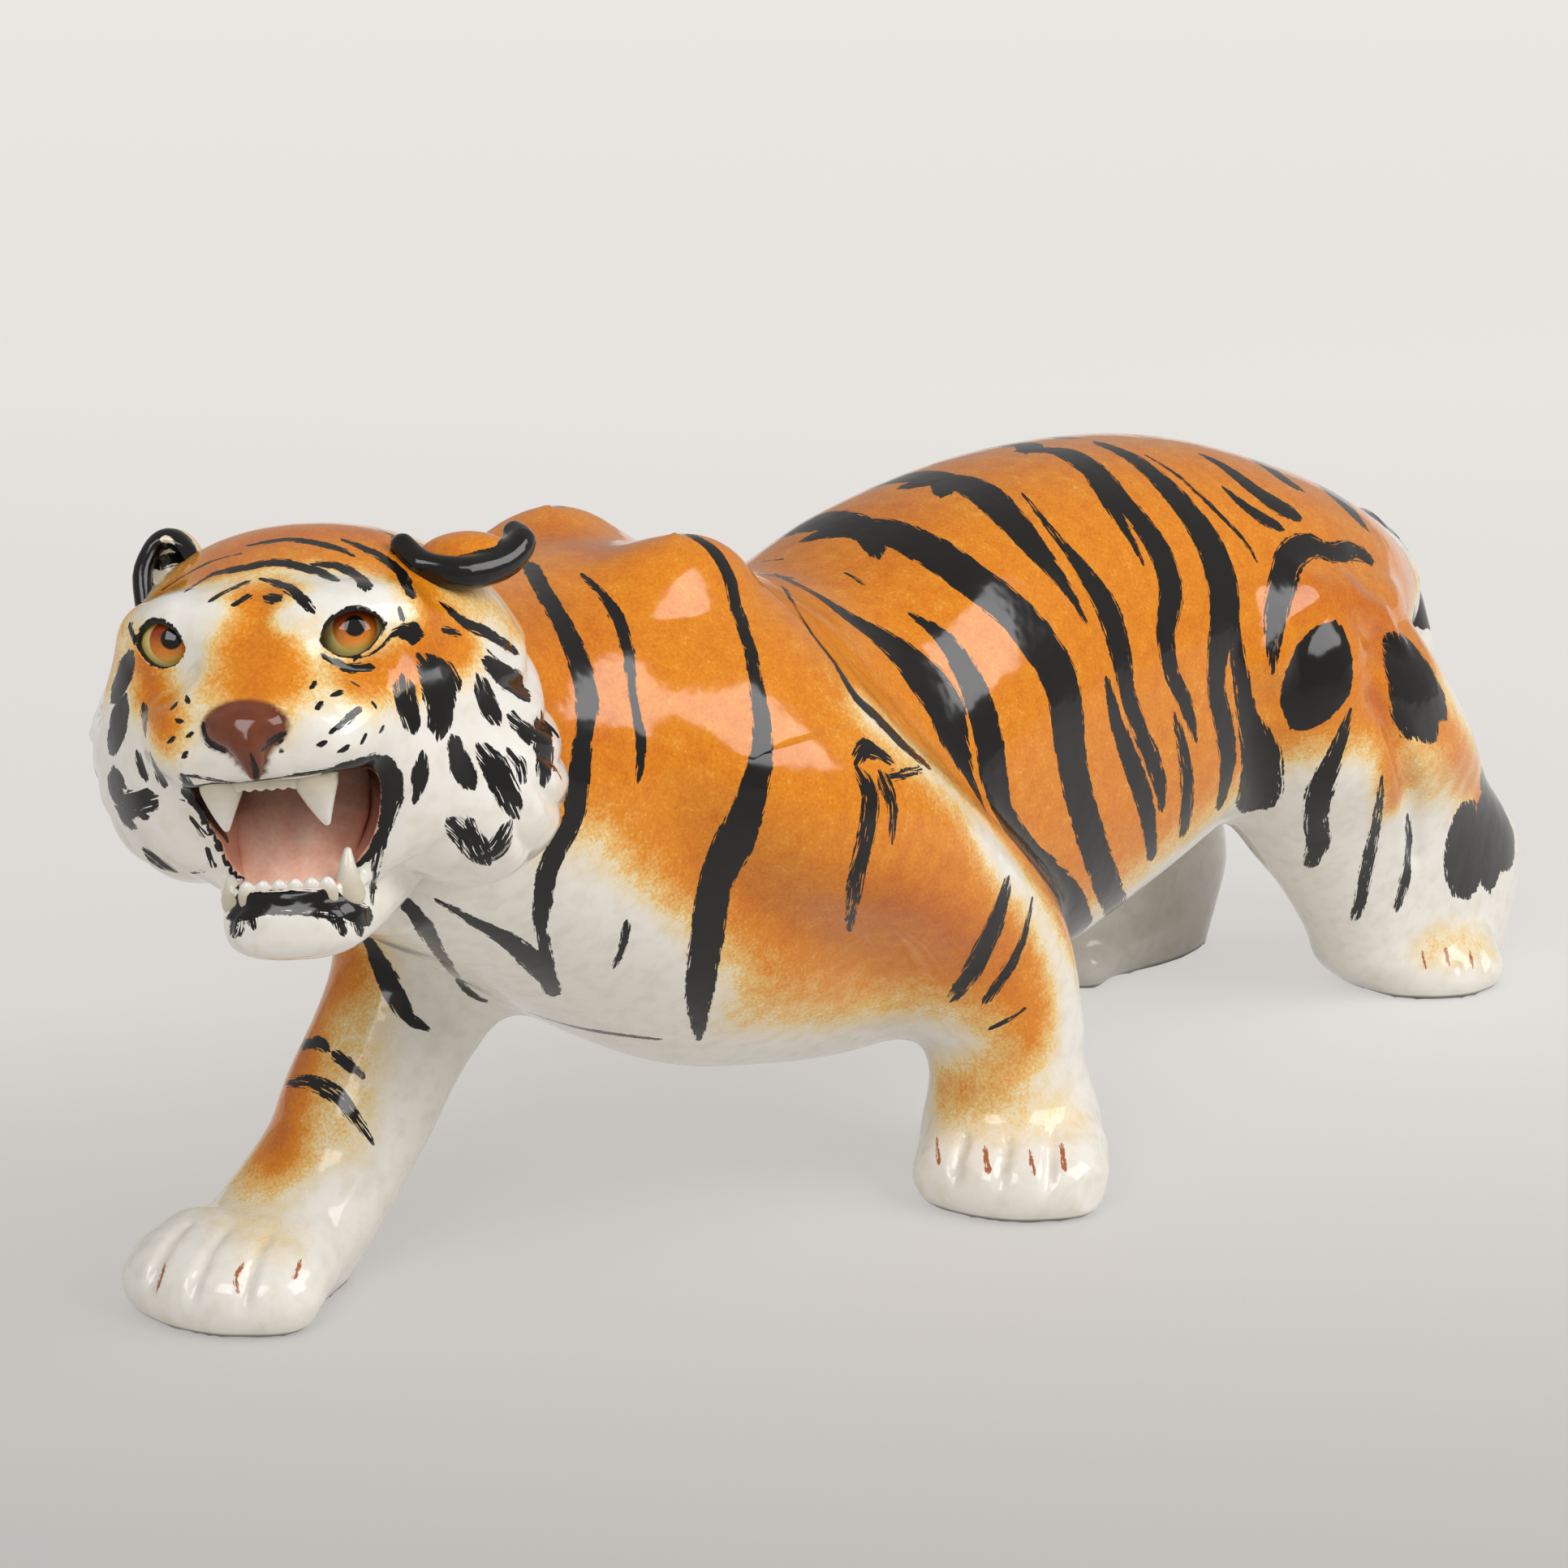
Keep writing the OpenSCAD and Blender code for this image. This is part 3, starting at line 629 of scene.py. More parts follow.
@dataclass
class Body:
    """The torso, legs and tail: lofts joined by fillets as slip joins them, then parted again into pieces."""

    # Stations: x, y (for a leg the distance from the mid-plane), z and the two half-sizes, or a bar's radius
    torso_rows: list = field(default_factory=lambda: [
        [-212, 0, 153, 47, 41], [-165, 0, 139, 55, 57], [-118, 0, 123.5, 63, 71.5], [-83, 0, 112.5, 62, 71.5],
        [-48, 0, 104, 61, 69], [-6.5, 0, 110, 59.5, 75], [35, 0, 115.5, 58, 75.5], [76.5, 0, 121, 58, 70],
        [118, 0, 126, 58, 60], [155, 0, 125, 55, 50], [192, 0, 122, 44, 38], [232, 0, 118, 22, 20]])
    front_left_rows: list = field(default_factory=lambda: leg_rows(Side.LEFT, [
        [-118, 24, 184, 12, 22], [-118, 42, 166, 19, 32], [-106, 52, 142, 25, 39], [-80, 55, 114, 26, 41],
        [-35, 53, 78, 23, 32], [-18, 54, 48, 20.5, 23.5], [-15.5, 54, 34, 20.5, 22],
        [-12.5, 54, 14, 23.5, 26], [-13, 54, 0, 21.5, 23.5]]))
    front_right_rows: list = field(default_factory=lambda: leg_rows(Side.RIGHT, [
        [-118, 24, 184, 12, 22], [-118, 42, 166, 19, 32], [-121, 52, 142, 25, 39], [-128, 55, 114, 26, 41],
        [-140, 46, 78, 23, 32], [-167, 44, 48, 21, 25], [-177, 44, 34, 21, 23], [-198, 44, 14, 22.5, 25],
        [-207, 44, 0, 20, 21]]))
    hind_left_rows: list = field(default_factory=lambda: leg_rows(Side.LEFT, [
        [142, 42, 130, 21, 35], [144, 50, 116, 24.4, 40], [157, 50, 90, 27.8, 48], [176, 42, 65, 26.7, 55],
        [198, 42, 42, 23, 56], [207, 42, 24, 22, 50], [208, 42, 11, 23, 42], [212, 42, 0, 23, 30]]))
    hind_right_rows: list = field(default_factory=lambda: leg_rows(Side.RIGHT, [
        [130, 42, 130, 21, 35], [131, 50, 116, 24.4, 40], [137, 50, 90, 27.8, 48], [146, 42, 65, 26.7, 55],
        [150, 42, 42, 23, 56], [159, 42, 24, 22, 50], [160, 42, 11, 23, 42], [164, 42, 0, 23, 30]]))
    tail_rows: list = field(default_factory=lambda: [
        [186, 0, 143.5, 15], [224, -1, 131.5, 14], [245, -3, 103, 12.9], [253, -6, 69, 11],
        [251, -8, 34, 8.5]])
    # On the left hind leg: the fold of skin over the knee, and the groove between the two muscles of the calf
    knee_fold: list = field(default_factory=lambda: [
        [100, -58, 130, 3.6], [107, -57, 140, 4.2], [118, -58, 144, 4.4], [134, -59, 141, 4.4],
        [148, -62, 133, 4], [154, -65, 125, 3]])
    calf_groove: list = field(default_factory=lambda: [
        [131, -75, 116, 1.2], [138, -77, 106, 2.2], [145, -78, 92, 2.4], [160, -72, 72, 2.2],
        [173, -66, 52, 1.2]])
    # Heights and half-heights of the black rings on the tail
    tail_rings: tuple = ((136, 6.5), (112, 7), (88, 6), (66, 5), (46, 4.5), (26, 6))
    # Place along the body, and the share of the torso's half-height where the sprayed stain is half faded
    fade_line: tuple = (
        (-212, 0.0), (-165, -0.25), (-118, -0.55), (-48, -0.6), (35, -0.62), (100, -0.5), (160, -0.3),
        (240, 0.1))
    stain: float = 0.86
    # A toe, and a groove between two: share of the paw's reach, then place and radius as shares of its height
    toe_rows: tuple = ((0.42, 0.46, 0.40), (0.78, 0.41, 0.40), (0.95, 0.34, 0.37))
    groove_rows: tuple = ((0.62, 0.93, 0.03), (0.95, 0.835, 0.045), (1.19, 0.6, 0.055), (1.36, 0.37, 0.04))
    # How far the outer toes stand back, the toes' spacing as a share of the width, and how far they fan out
    toe_curve: float = 2.6
    toe_pitch: float = 0.235
    toe_fan: float = 0.25
    paw_top: float = 44.0
    nape: tuple = (-215.7, 2.9, 172)
    nape_radius: float = 42.0
    knee_radii: tuple = (18, 15, 23)
    # Fillets: between castings, then of the nape, the tail, the toes, their grooves, the paws and the knees
    fillet: float = 16.0
    nape_fillet: float = 26.0
    tail_fillet: float = 5.0
    toe_fillet: float = 13.0
    groove_fillet: float = 1.8
    paw_fillet: float = 8.0
    knee_fillet: float = 7.0
    fold_fillet: float = 5.0
    calf_fillet: float = 7.0
    # A front leg's seam falls back above this height, over this run, by this much
    withers: tuple = (146, 16, 24)
    lap: float = 3.0

    def __post_init__(self) -> None:
        """Sets up the lofts."""
        self.torso = Loft(self.torso_rows, 0, 10)
        self.legs = {
            "front_leg_left": Loft(self.front_left_rows, 2, 16),
            "front_leg_right": Loft(self.front_right_rows, 2, 16),
            "hind_leg_left": Loft(self.hind_left_rows, 2, 16),
            "hind_leg_right": Loft(self.hind_right_rows, 2, 16)}
        # Place, turn in degrees, width, height and reach of the toes
        self.feet = {
            "front_leg_left": ((-11, -57), 30, 52, 25, 33),
            "front_leg_right": ((-208, 44), 22, 54, 25, 31),
            "hind_leg_left": ((211, -41), 58, 41, 18, 28),
            "hind_leg_right": ((152, 42), 0, 44, 18, 35)}
        self.knees = {"hind_leg_left": (122, -58, 119), "hind_leg_right": (120, 58, 119)}
        self.tail_line = spline(self.tail_rows, 14)

    def toes(self, p: Array, place: tuple, turn: float, width: float, height: float, reach: float) -> Array:
        """Four toes: round bars that fan out from the paw, the middle two ahead of the others, run together
        like a mitten and parted again by three narrow grooves.

        Args:
            p: points.
            place: the paw's middle, x and y.
            turn: where the paw points, in degrees.
            width: width over all toes.
            height: height of the paw.
            reach: how far the middle toes reach.

        Returns:
            The signed distance of each point.
        """
        best = np.full(len(p), FAR)
        c, s = np.cos(np.radians(turn)), np.sin(np.radians(turn))

        def bar(off: float, rows: tuple) -> Array:
            """Distance to one bar.

            Args:
                off: how many toes it lies beside the paw's middle.
                rows: its shares of the reach and the height.

            Returns:
                The signed distance of each point.
            """
            ahead, across = reach - self.toe_curve * off * off, off * width * self.toe_pitch
            ends = []
            for share, up, r in rows:
                x, y = -ahead * share, across * (1 - self.toe_fan + self.toe_fan * share)
                ends.append([place[0] + c * x - s * y, place[1] + s * x + c * y, height * up, height * r])
            return chain(p, ends)

        for k in range(4):
            best = joined(best, bar(k - 1.5, self.toe_rows), self.toe_fillet)
        for k in range(3):
            best = carved(best, bar(k - 1, self.groove_rows), self.groove_fillet)
        return best

    def moved(self, name: str, rows: list) -> Array:
        """Carries places on the left hind leg to another: y takes its side, and x moves as its stations do.

        Args:
            name: the hind leg.
            rows: x, y, z and radius on the left hind leg.

        Returns:
            The rows on the named leg.
        """
        rows = np.array(rows, float)
        at = lambda k: np.interp(rows[:, 2], *self.legs[k].table[:, [2, 0]].T)
        rows[:, 0] += at(name) - at("hind_leg_left")
        rows[:, 1] *= 1 if name == "hind_leg_left" else -1
        return rows

    def part(self, name: str, p: Array, paws: bool) -> Array:
        """Distance to one casting before it is joined.

        Args:
            name: the casting.
            p: points.
            paws: whether its toes count.

        Returns:
            The signed distance of each point.
        """
        if name == "torso":
            nape = np.linalg.norm(p - np.array(self.nape), axis=1) - self.nape_radius
            return joined(self.torso(p), nape, self.nape_fillet)
        if name == "tail":
            return chain(p, self.tail_line)
        d = self.legs[name](p)
        if paws:
            paw, low = np.full(len(p), FAR), p[:, 2] < self.paw_top
            paw[low] = self.toes(p[low], *self.feet[name])
            d = joined(d, paw, self.paw_fillet)
        if name in self.knees:
            d = joined(d, ellipsoid(p, self.knees[name], self.knee_radii), self.knee_fillet)
            d = joined(d, chain(p, self.moved(name, self.knee_fold)), self.fold_fillet)
            d = carved(d, chain(p, self.moved(name, self.calf_groove)), self.calf_fillet)
        return d

    def skin(self, name: str, near: tuple, low: tuple, high: tuple, step: float) -> Skin:
        """Meshes one piece of the joined body. Its seam runs where two pieces are equally near, and a front
        leg's stops below the withers.

        Args:
            name: the piece.
            near: the pieces that touch it.
            low: lowest corner of its box.
            high: highest corner.
            step: size of a cell.

        Returns:
            The piece's skin.
        """
        def both(p: Array) -> tuple[Array, Array]:
            """Works out the joined body near the piece.

            Args:
                p: points.

            Returns:
                The signed distance to it, and half the lead of the nearest neighbour.
            """
            d = {k: self.part(k, p, name != "torso") for k in (name, *near)}
            f = d["torso"]
            for k in self.legs:
                f = joined(f, d[k], self.fillet) if k in d else f
            f = joined(f, d["tail"], self.tail_fillet) if "tail" in d else f
            top, run, fall = self.withers
            lift = fall * smooth((p[:, 2] - top) / run)
            own = {k: d[k] + lift if k.startswith("front") else d[k] for k in d}
            return np.maximum(f, -p[:, 2]), 0.5 * (own[name] - np.min([own[k] for k in near], axis=0))

        points, quads = pieced(both, low, high, step, self.lap, 0)
        slot = "glaze_orange" if name == "torso" else "glaze_white"
        return Skin(name + "_skin", (name,), slot, points, quads)

    def orange(self, p: Array) -> Array:
        """Stain sprayed over the back and flanks: full above a fade line, none below it. The line is a share
        of the torso's half-height that differs along the body; the tail and its root stay bare.

        Args:
            p: points.

        Returns:
            The stain's cover.
        """
        t = self.torso.table
        middle, half = (np.interp(p[:, 0], t[:, 0], t[:, k]) for k in (2, 4))
        fade = np.interp(p[:, 0], *zip(*self.fade_line))
        bare = smooth((chain(p, self.tail_line) - 2) / 9)
        return self.stain * bare * smooth(((p[:, 2] - middle) / np.maximum(half, 25) - fade) / 0.5 + 0.5)

    def rings(self, p: Array) -> Array:
        """Cover of the black rings round the tail: bands of height that lean a little backwards."""
        high = p[:, 2] + 0.25 * (p[:, 0] - 240)
        return np.max([smooth((half - np.abs(high - z)) / 1.2 + 0.5) for z, half in self.tail_rings], axis=0)

    def skins(self) -> list[Skin]:
        """Meshes all pieces of the body.

        Returns:
            Their skins.
        """
        return [
            self.skin("torso", (*self.legs, "tail"), (-224, -66, 30), (244, 66, 200), 2.2),
            self.skin("front_leg_left", ("torso",), (-160, -88, 0), (26, -20, 182), 1.6),
            self.skin("front_leg_right", ("torso",), (-252, 10, 0), (-70, 88, 182), 1.6),
            self.skin("hind_leg_left", ("torso", "tail"), (88, -88, 0), (268, -8, 160), 1.6),
            self.skin("hind_leg_right", ("torso",), (80, 8, 0), (218, 80, 160), 1.8),
            self.skin("tail", ("torso", "hind_leg_left"), (168, -24, 20), (272, 20, 164), 1.6),
        ]


@dataclass
class Head:
    """The head and lower jaw with ears, eyes, teeth and tongue, in the head's own frame: ahead, left, up."""

    place: tuple = (-231.0, -10.0, 167.0)
    turn: float = 39.0
    tilt: float = -5.0
    # Reach ahead, half-width, top and bottom
    skull_rows: tuple = (
        (-46, 40, 36, -38), (-30, 51, 46, -40), (-12, 54, 51, -36), (0, 53, 52, -33), (15, 49, 50, -31),
        (28, 42.5, 46.5, -30), (36, 36.5, 43, -28), (41, 31, 39.5, -16), (47, 27, 35.5, -2), (53, 21, 31, 3),
        (57, 14, 27, 8))
    jaw_rows: tuple = (
        (0, 26, -18, -42), (20, 22, -21, -43), (35, 18.5, -23, -42.5), (44, 16.5, -24, -41),
        (48, 13.5, -25, -39))
    mouth_rows: tuple = (
        (8, 11, 0, -16), (22, 18, 4, -21), (34, 21, 5.5, -24), (45, 21, 6, -25), (60, 20, 6, -26))
    # Ovals: middle and three radii
    cheek_left: tuple = ((0, 37, -13), (28, 24, 25))
    cheek_right: tuple = ((2, -28.5, -8), (28, 20.5, 23.5))
    lip_pad: tuple = ((48, 13.5, 14.5), (12, 12.5, 9.5))
    eye_hollow: tuple = ((45, 25, 34), (9, 10, 8))
    nose_pad: tuple = ((58, -1.6, 20.3), (6.2, 9.7, 5.4))
    left_leaf: tuple = ((-5, 41.5, 41.5), (9, 11.5, 6))
    right_cup: tuple = ((-12, -31, 43), (8, 8, 9))
    right_hollow: tuple = ((-3, -31.5, 45), (8, 5, 6))
    # Bars: places and radii; the brow and the gum are mirrored
    brow: tuple = ((35, 10, 38, 4), (33, 20, 38.5, 4.5), (26, 30, 36, 4))
    gum: tuple = ((26, 18.5, -23, 2.2), (40, 15, -24, 2.2), (46, 8, -24.5, 2.2), (47.5, 0, -24.5, 2.2))
    nose_stem: tuple = ((61, -1.2, 17, 4.6), (60.8, -0.6, 10, 1.7))
    lip_cleft: tuple = ((66, 0, 8.5, 1.2), (58, 0, 4, 1.2))
    # The tongue, with y drawn in by its spread, and its groove
    tongue_rows: tuple = ((39, 0, -25, 4.4), (32, 0, -20.5, 5), (23, 0, -12.5, 6), (13, 0, -5, 6))
    tongue_spread: float = 0.36
    tongue_groove: tuple = ((48, 0, -15.5, 1), (33, 0, -12.5, 1), (20, 0, -2.5, 1))
    eyes: dict = field(default_factory=lambda: {1: (29.5, 18.8, 33.2), -1: (29.5, -21.8, 33.6)})
    eye_radius: float = 9.0
    # Lids: their thickness, half the opening's width on each side, half its height, and how far it leans
    lid: float = 1.8
    lid_half: dict = field(default_factory=lambda: {1: 7.3, -1: 6.6})
    lid_arch: float = 5.0
    lid_lean: float = 0.12
    left_rim: tuple = (
        (4, 28.8, 47.4, 2.9), (8, 34, 42.8, 3.7), (6.5, 43, 40.2, 4.1), (-2, 50.8, 39.9, 4.1),
        (-9, 55, 42.8, 3.7), (-14, 53, 44.4, 3))
    right_rim: tuple = (
        (-1, -36.4, 36.5, 2.3), (-5, -36.9, 43, 2.3), (-9, -34.4, 48.4, 2.1), (-11, -30.7, 50.1, 2.0),
        (-8, -25.7, 47.3, 2.0), (-4, -24.2, 43, 1.9))
    gaze: tuple = (0.943, 0.203, 0.263)
    iris_pixels: dict = field(default_factory=lambda: {1: "437,775", -1: "213,791"})
    # Height of the locks of fur, and how many of them half a circle holds
    lock_height: float = 1.7
    lock_count: int = 13
    # Fillets: cheeks, pads and hollows beside the nose, brow, nose, its stem, cleft of the lip, mouth, balls
    # of the lids, their opening, gum, jaw's seam, tongue's groove
    cheek_fillet: float = 10.0
    pad_fillet: float = 8.0
    brow_fillet: float = 13.0
    nose_fillet: float = 1.2
    stem_fillet: float = 1.6
    cleft_fillet: float = 1.5
    mouth_fillet: float = 2.5
    lid_fillet: float = 3.0
    almond_fillet: float = 0.8
    gum_fillet: float = 2.0
    jaw_fillet: float = 3.0
    tongue_fillet: float = 5.0
    # Cover of the sprayed stain, and stations of an ear's rim
    stain: float = 0.8
    rim_stations: int = 18
    step: float = 1.0
    lap: float = 2.0

    def __post_init__(self) -> None:
        """Sets up the frame and the lofts."""
        t, k = np.radians(self.turn), np.radians(self.tilt)
        rz = np.array([[np.cos(t), -np.sin(t), 0], [np.sin(t), np.cos(t), 0], [0, 0, 1]])
        rx = np.array([[1, 0, 0], [0, np.cos(k), -np.sin(k)], [0, np.sin(k), np.cos(k)]])
        self.frame = (rz @ rx @ np.diag([-1, -1, 1])).T
        rows = lambda face: [[r, 0, (a + b) / 2, w, (a - b) / 2] for r, w, a, b in face]
        lofted = lambda face, cap, full: Loft(rows(face), 0, cap, full)
        self.skull = lofted(self.skull_rows, 4, 2.1)
        self.jaw = lofted(self.jaw_rows, 4, 2.6)
        self.mouth = lofted(self.mouth_rows, 12, 3.0)

    def world(self, q: Array) -> Array:
        """From the head's frame to the body's."""
        return np.array(self.place) + q @ self.frame

    def local(self, p: Array) -> Array:
        """From the body's frame to the head's."""
        return (p - np.array(self.place)) @ self.frame.T

    def socket(self, s: int) -> tuple[Array, Array]:
        """Places an eye.

        Args:
            s: 1 on the left, -1 on the right.

        Returns:
            Its middle, and its axes ahead, to the left and up.
        """
        f = np.array([0.93, 0.22 * s, 0.22])
        f /= np.linalg.norm(f)
        a = np.cross([0, 0, 1], f)
        a /= np.linalg.norm(a)
        return np.array(self.eyes[s]), np.stack([f, a, np.cross(f, a)])

    def cavity(self, q: Array) -> Array:
        """The hollow of the mouth: wider at the roof than at the floor, drawn up at its left corner and
        narrow at its right.

        Args:
            q: points in the head's frame.

        Returns:
            The signed distance of each point.
        """
        left = 1 + 0.012 * (q[:, 2] + 12)
        right = np.interp(q[:, 2], (-24, -12, -3, 5), (0.7, 0.72, 0.86, 1.2))
        across = q[:, 1] / np.where(q[:, 1] > 0, left, right)
        return self.mouth(np.stack([q[:, 0], across, q[:, 2] - 0.28 * np.maximum(q[:, 1] - 8, 0)], 1))

    def nose(self, q: Array) -> Array:
        """The nose pad: a wide oval over a stem that narrows to the lip."""
        return joined(ellipsoid(q, *self.nose_pad), chain(q, self.nose_stem), self.stem_fillet)

    def nostril(self, q: Array, s: int) -> Array:
        """A groove that runs outwards under the wing of the nose."""
        return chain(q, [[64.2, 3.9 * s - 1.3, 13.6, 0.9], [61.6, 7.6 * s - 1.5, 14.6, 1.2]])

    def orange(self, q: Array) -> Array:
        """Stain sprayed over the crown and the nape: the larger of two soft steps of height and reach.

        Args:
            q: points in the head's frame.

        Returns:
            The stain's cover.
        """
        crown = smooth((q[:, 2] - 39) / 10) * smooth((28 - q[:, 0]) / 12)
        nape = smooth((q[:, 2] + 5) / 25) * smooth((-12 - q[:, 0]) / 14)
        return self.stain * np.maximum(crown, nape)

    def marks(self, q: Array) -> dict:
        """Brushed-on nose, mouth, lips, lids and nostrils, each from the distance to its form.

        Args:
            q: points in the head's frame.

        Returns:
            The cover of the nose's colour, of black and of the mouth's colour.
        """
        gap = self.cavity(q)
        inside = smooth((0.9 - gap) / 0.6) * smooth((49 - q[:, 0]) / 4) * smooth((q[:, 2] + 27) / 2)
        holes = np.minimum(self.nostril(q, -1), self.nostril(q, 1))
        ink = smooth((0.5 - holes) / 0.8)
        # A black edge round the lids' opening, wider above
        for s in (-1, 1):
            middle, axes = self.socket(s)
            high = smooth((((q - middle) @ axes.T)[:, 2] + 1.5) / 4)
            ink = np.maximum(ink, smooth((0.7 + 1.0 * high - self.almond(q, s)) / 0.7))
        # Black lips: a band round the mouth, wider at both corners, that ends at the chin and in the throat
        lip = 0.9 + 3.0 * smooth((q[:, 1] - 12) / 8) + 1.5 * smooth((-6 - q[:, 1]) / 6)
        lip *= smooth((q[:, 2] + 25) / 4) * smooth((q[:, 0] - 8) / 8)
        ink = np.maximum(ink, smooth((lip - gap) / 0.7) * smooth((gap - 0.1) / 0.4))
        # Towards the roof of the mouth the mark grows: darker paint, partly painted shade
        return {"nose": smooth((1.4 - self.nose(q)) / 0.8), "ink": ink,
                "mouth": inside * (0.5 + 0.5 * smooth((q[:, 2] + 13) / 9))}

    def almond(self, q: Array, s: int) -> Array:
        """The opening between the lids: two arches over the eye's width, higher outside, seen along its axis.

        Args:
            q: points in the head's frame.
            s: 1 on the left, -1 on the right.

        Returns:
            The signed distance of each point.
        """
        middle, axes = self.socket(s)
        e = (q - middle) @ axes.T
        half, wide = self.lid_half[s], np.abs(e[:, 1])
        lean = e[:, 2] - self.lid_lean * s * e[:, 1]
        arch = np.clip(1 - (e[:, 1] / half) ** 2, 0, 1)
        d = np.maximum(lean - self.lid_arch * arch**0.7, -self.lid_arch * arch**0.8 - lean)
        return np.maximum(np.where(wide < half, d, np.hypot(wide - half, lean)), -e[:, 0])

    def locks(self, q: Array) -> Array:
        """Locks of fur on the cheeks: a ridged wave of the angle round the muzzle, so that they fan out
        backwards.

        Args:
            q: points in the head's frame.

        Returns:
            Their height above the form.
        """
        back, up = 40 - q[:, 0], q[:, 2] - 12
        out = np.hypot(back, up)
        wave = np.abs(np.sin(self.lock_count * (np.arctan2(up, back) + 0.05 * np.sin(out / 5))))
        cheek = smooth((np.abs(q[:, 1]) - 24) / 12) * smooth((out - 24) / 14) * smooth((24 - q[:, 2]) / 10)
        return self.lock_height * cheek * smooth((q[:, 0] + 32) / 10) * (wave - 0.65)

    def form(self, q: Array) -> Array:
        """The skull with ruff, brows, pads, nose and lids, less the mouth. The right temple is slimmer.

        Args:
            q: points in the head's frame.

        Returns:
            The signed distance of each point.
        """
        m = q * [1, 0, 1] + np.abs(q) * [0, 1, 0]
        slim = 0.13 * smooth((q[:, 2] - 6) / 16) * smooth((26 - q[:, 0]) / 14) * (q[:, 1] < 0)
        skull = self.skull(np.stack([q[:, 0], q[:, 1] * (1 + slim), q[:, 2]], 1))
        d = joined(skull, ellipsoid(q, *self.cheek_left), self.cheek_fillet)
        d = joined(d, ellipsoid(q, *self.cheek_right), self.cheek_fillet) - self.locks(q)
        d = joined(d, ellipsoid(m, *self.lip_pad), self.pad_fillet)
        d = carved(d, ellipsoid(m, *self.eye_hollow), self.pad_fillet)
        d = joined(d, chain(m, self.brow), self.brow_fillet)
        d = joined(d, self.nose(q), self.nose_fillet)
        for s in (-1, 1):
            d = carved(d, self.nostril(q, s), self.nose_fillet)
        d = carved(d, chain(q, self.lip_cleft), self.cleft_fillet)
        d = carved(d, self.cavity(q), self.mouth_fillet)
        for s in (-1, 1):
            ball = ellipsoid(q, self.socket(s)[0], (self.eye_radius + self.lid,) * 3)
            d = carved(joined(d, ball, self.lid_fillet), self.almond(q, s), self.almond_fillet)
        return d

    def chin(self, q: Array) -> Array:
        """The lower jaw with the gum that carries its teeth."""
        m = q * [1, 0, 1] + np.abs(q) * [0, 1, 0]
        return joined(self.jaw(q), chain(m, self.gum), self.gum_fillet)

    def half(self, jaw: bool) -> Skin:
        """Meshes the head or the lower jaw: both fill one joined form, up to where they are equally near.

        Args:
            jaw: whether it is the lower jaw.

        Returns:
            The piece's skin, with its brushed-on marks.
        """
        def both(q: Array) -> tuple[Array, Array]:
            """Distance to the joined form, and half the lead of the other piece."""
            over, under = self.form(q), self.chin(q)
            return joined(over, under, self.jaw_fillet), 0.5 * (under - over if jaw else over - under)

        name = "lower_jaw" if jaw else "head"
        low, high = ((-10, -34, -50), (58, 34, -6)) if jaw else ((-54, -64, -48), (66, 64, 60))
        points, quads = pieced(both, low, high, self.step, self.lap)
        slot = "glaze_white" if jaw else "glaze_orange"
        skin = Skin(name + "_skin", (name,), slot, self.world(points), quads)
        skin.marks = {"orange": self.orange(points), **self.marks(points)}
        return skin

    def mesh(self, name: str, slot: str, shape: Field, low: tuple, high: tuple, step: float) -> Skin:
        """Meshes a shape that is given in the head's frame.

        Args:
            name: the solid that it replaces.
            slot: its material slot.
            shape: signed distance in the head's frame.
            low: lowest corner of its box.
            high: highest corner.
            step: size of a cell.

        Returns:
            The piece's skin.
        """
        points, quads = surface_net(shape, low, high, step)
        return Skin(name + "_skin", (name,), slot, self.world(settled(points, shape, step * 0.5)), quads)

    def tongue(self, q: Array) -> Array:
        """A thick tongue that rises to the throat, with a shallow groove."""
        d = chain(q * [1, self.tongue_spread, 1], self.tongue_rows)
        return carved(d, chain(q, self.tongue_groove), self.tongue_fillet)

    def fang(self, q: Array, root: tuple, tip: tuple, r: float) -> Array:
        """A canine: a round cone that bends a little at half its length.

        Args:
            q: points in the head's frame.
            root: middle of its root.
            tip: its tip.
            r: its radius at the root.

        Returns:
            The signed distance of each point.
        """
        t = np.linspace(0, 1, 16)[:, None]
        line = (1 - t) * np.array(root) + t * np.array(tip) + 4 * t * (1 - t) * np.array([0.8, 0, 0])
        return chain(q, np.hstack([line, (r - 1) * (1 - t) + 1]))

    def row(self, q: Array, reach: float, half: float, up: float, tall: float) -> Array:
        """A strip of six small teeth: ovals side by side on a gum bar.

        Args:
            q: points in the head's frame.
            reach: how far ahead it sits.
            half: half its length.
            up: its height in the head's frame.
            tall: how far the teeth stand out of the bar.

        Returns:
            The signed distance of each point.
        """
        d = chain(q, [[reach, -half, up, 1.5], [reach, half, up, 1.5]])
        for k in range(6):
            y = half * (k - 2.5) / 2.5
            d = joined(d, ellipsoid(q, (reach + 0.4, y, up), (1.5, half * 0.25, abs(tall) + 1.2)), 0.9)
        return d

    def ear_left(self, q: Array) -> Array:
        """The left ear laid back: a round leaf with a thick rolled rim under it."""
        rim = chain(q, spline(self.left_rim, self.rim_stations))
        return joined(ellipsoid(q, *self.left_leaf), rim, 1.2)

    def ear_right(self, q: Array) -> Array:
        """The right ear: a cup with a rolled rim, open ahead."""
        cup = carved(ellipsoid(q, *self.right_cup), ellipsoid(q, *self.right_hollow), 1)
        return joined(cup, chain(q, spline(self.right_rim, self.rim_stations)), 1)

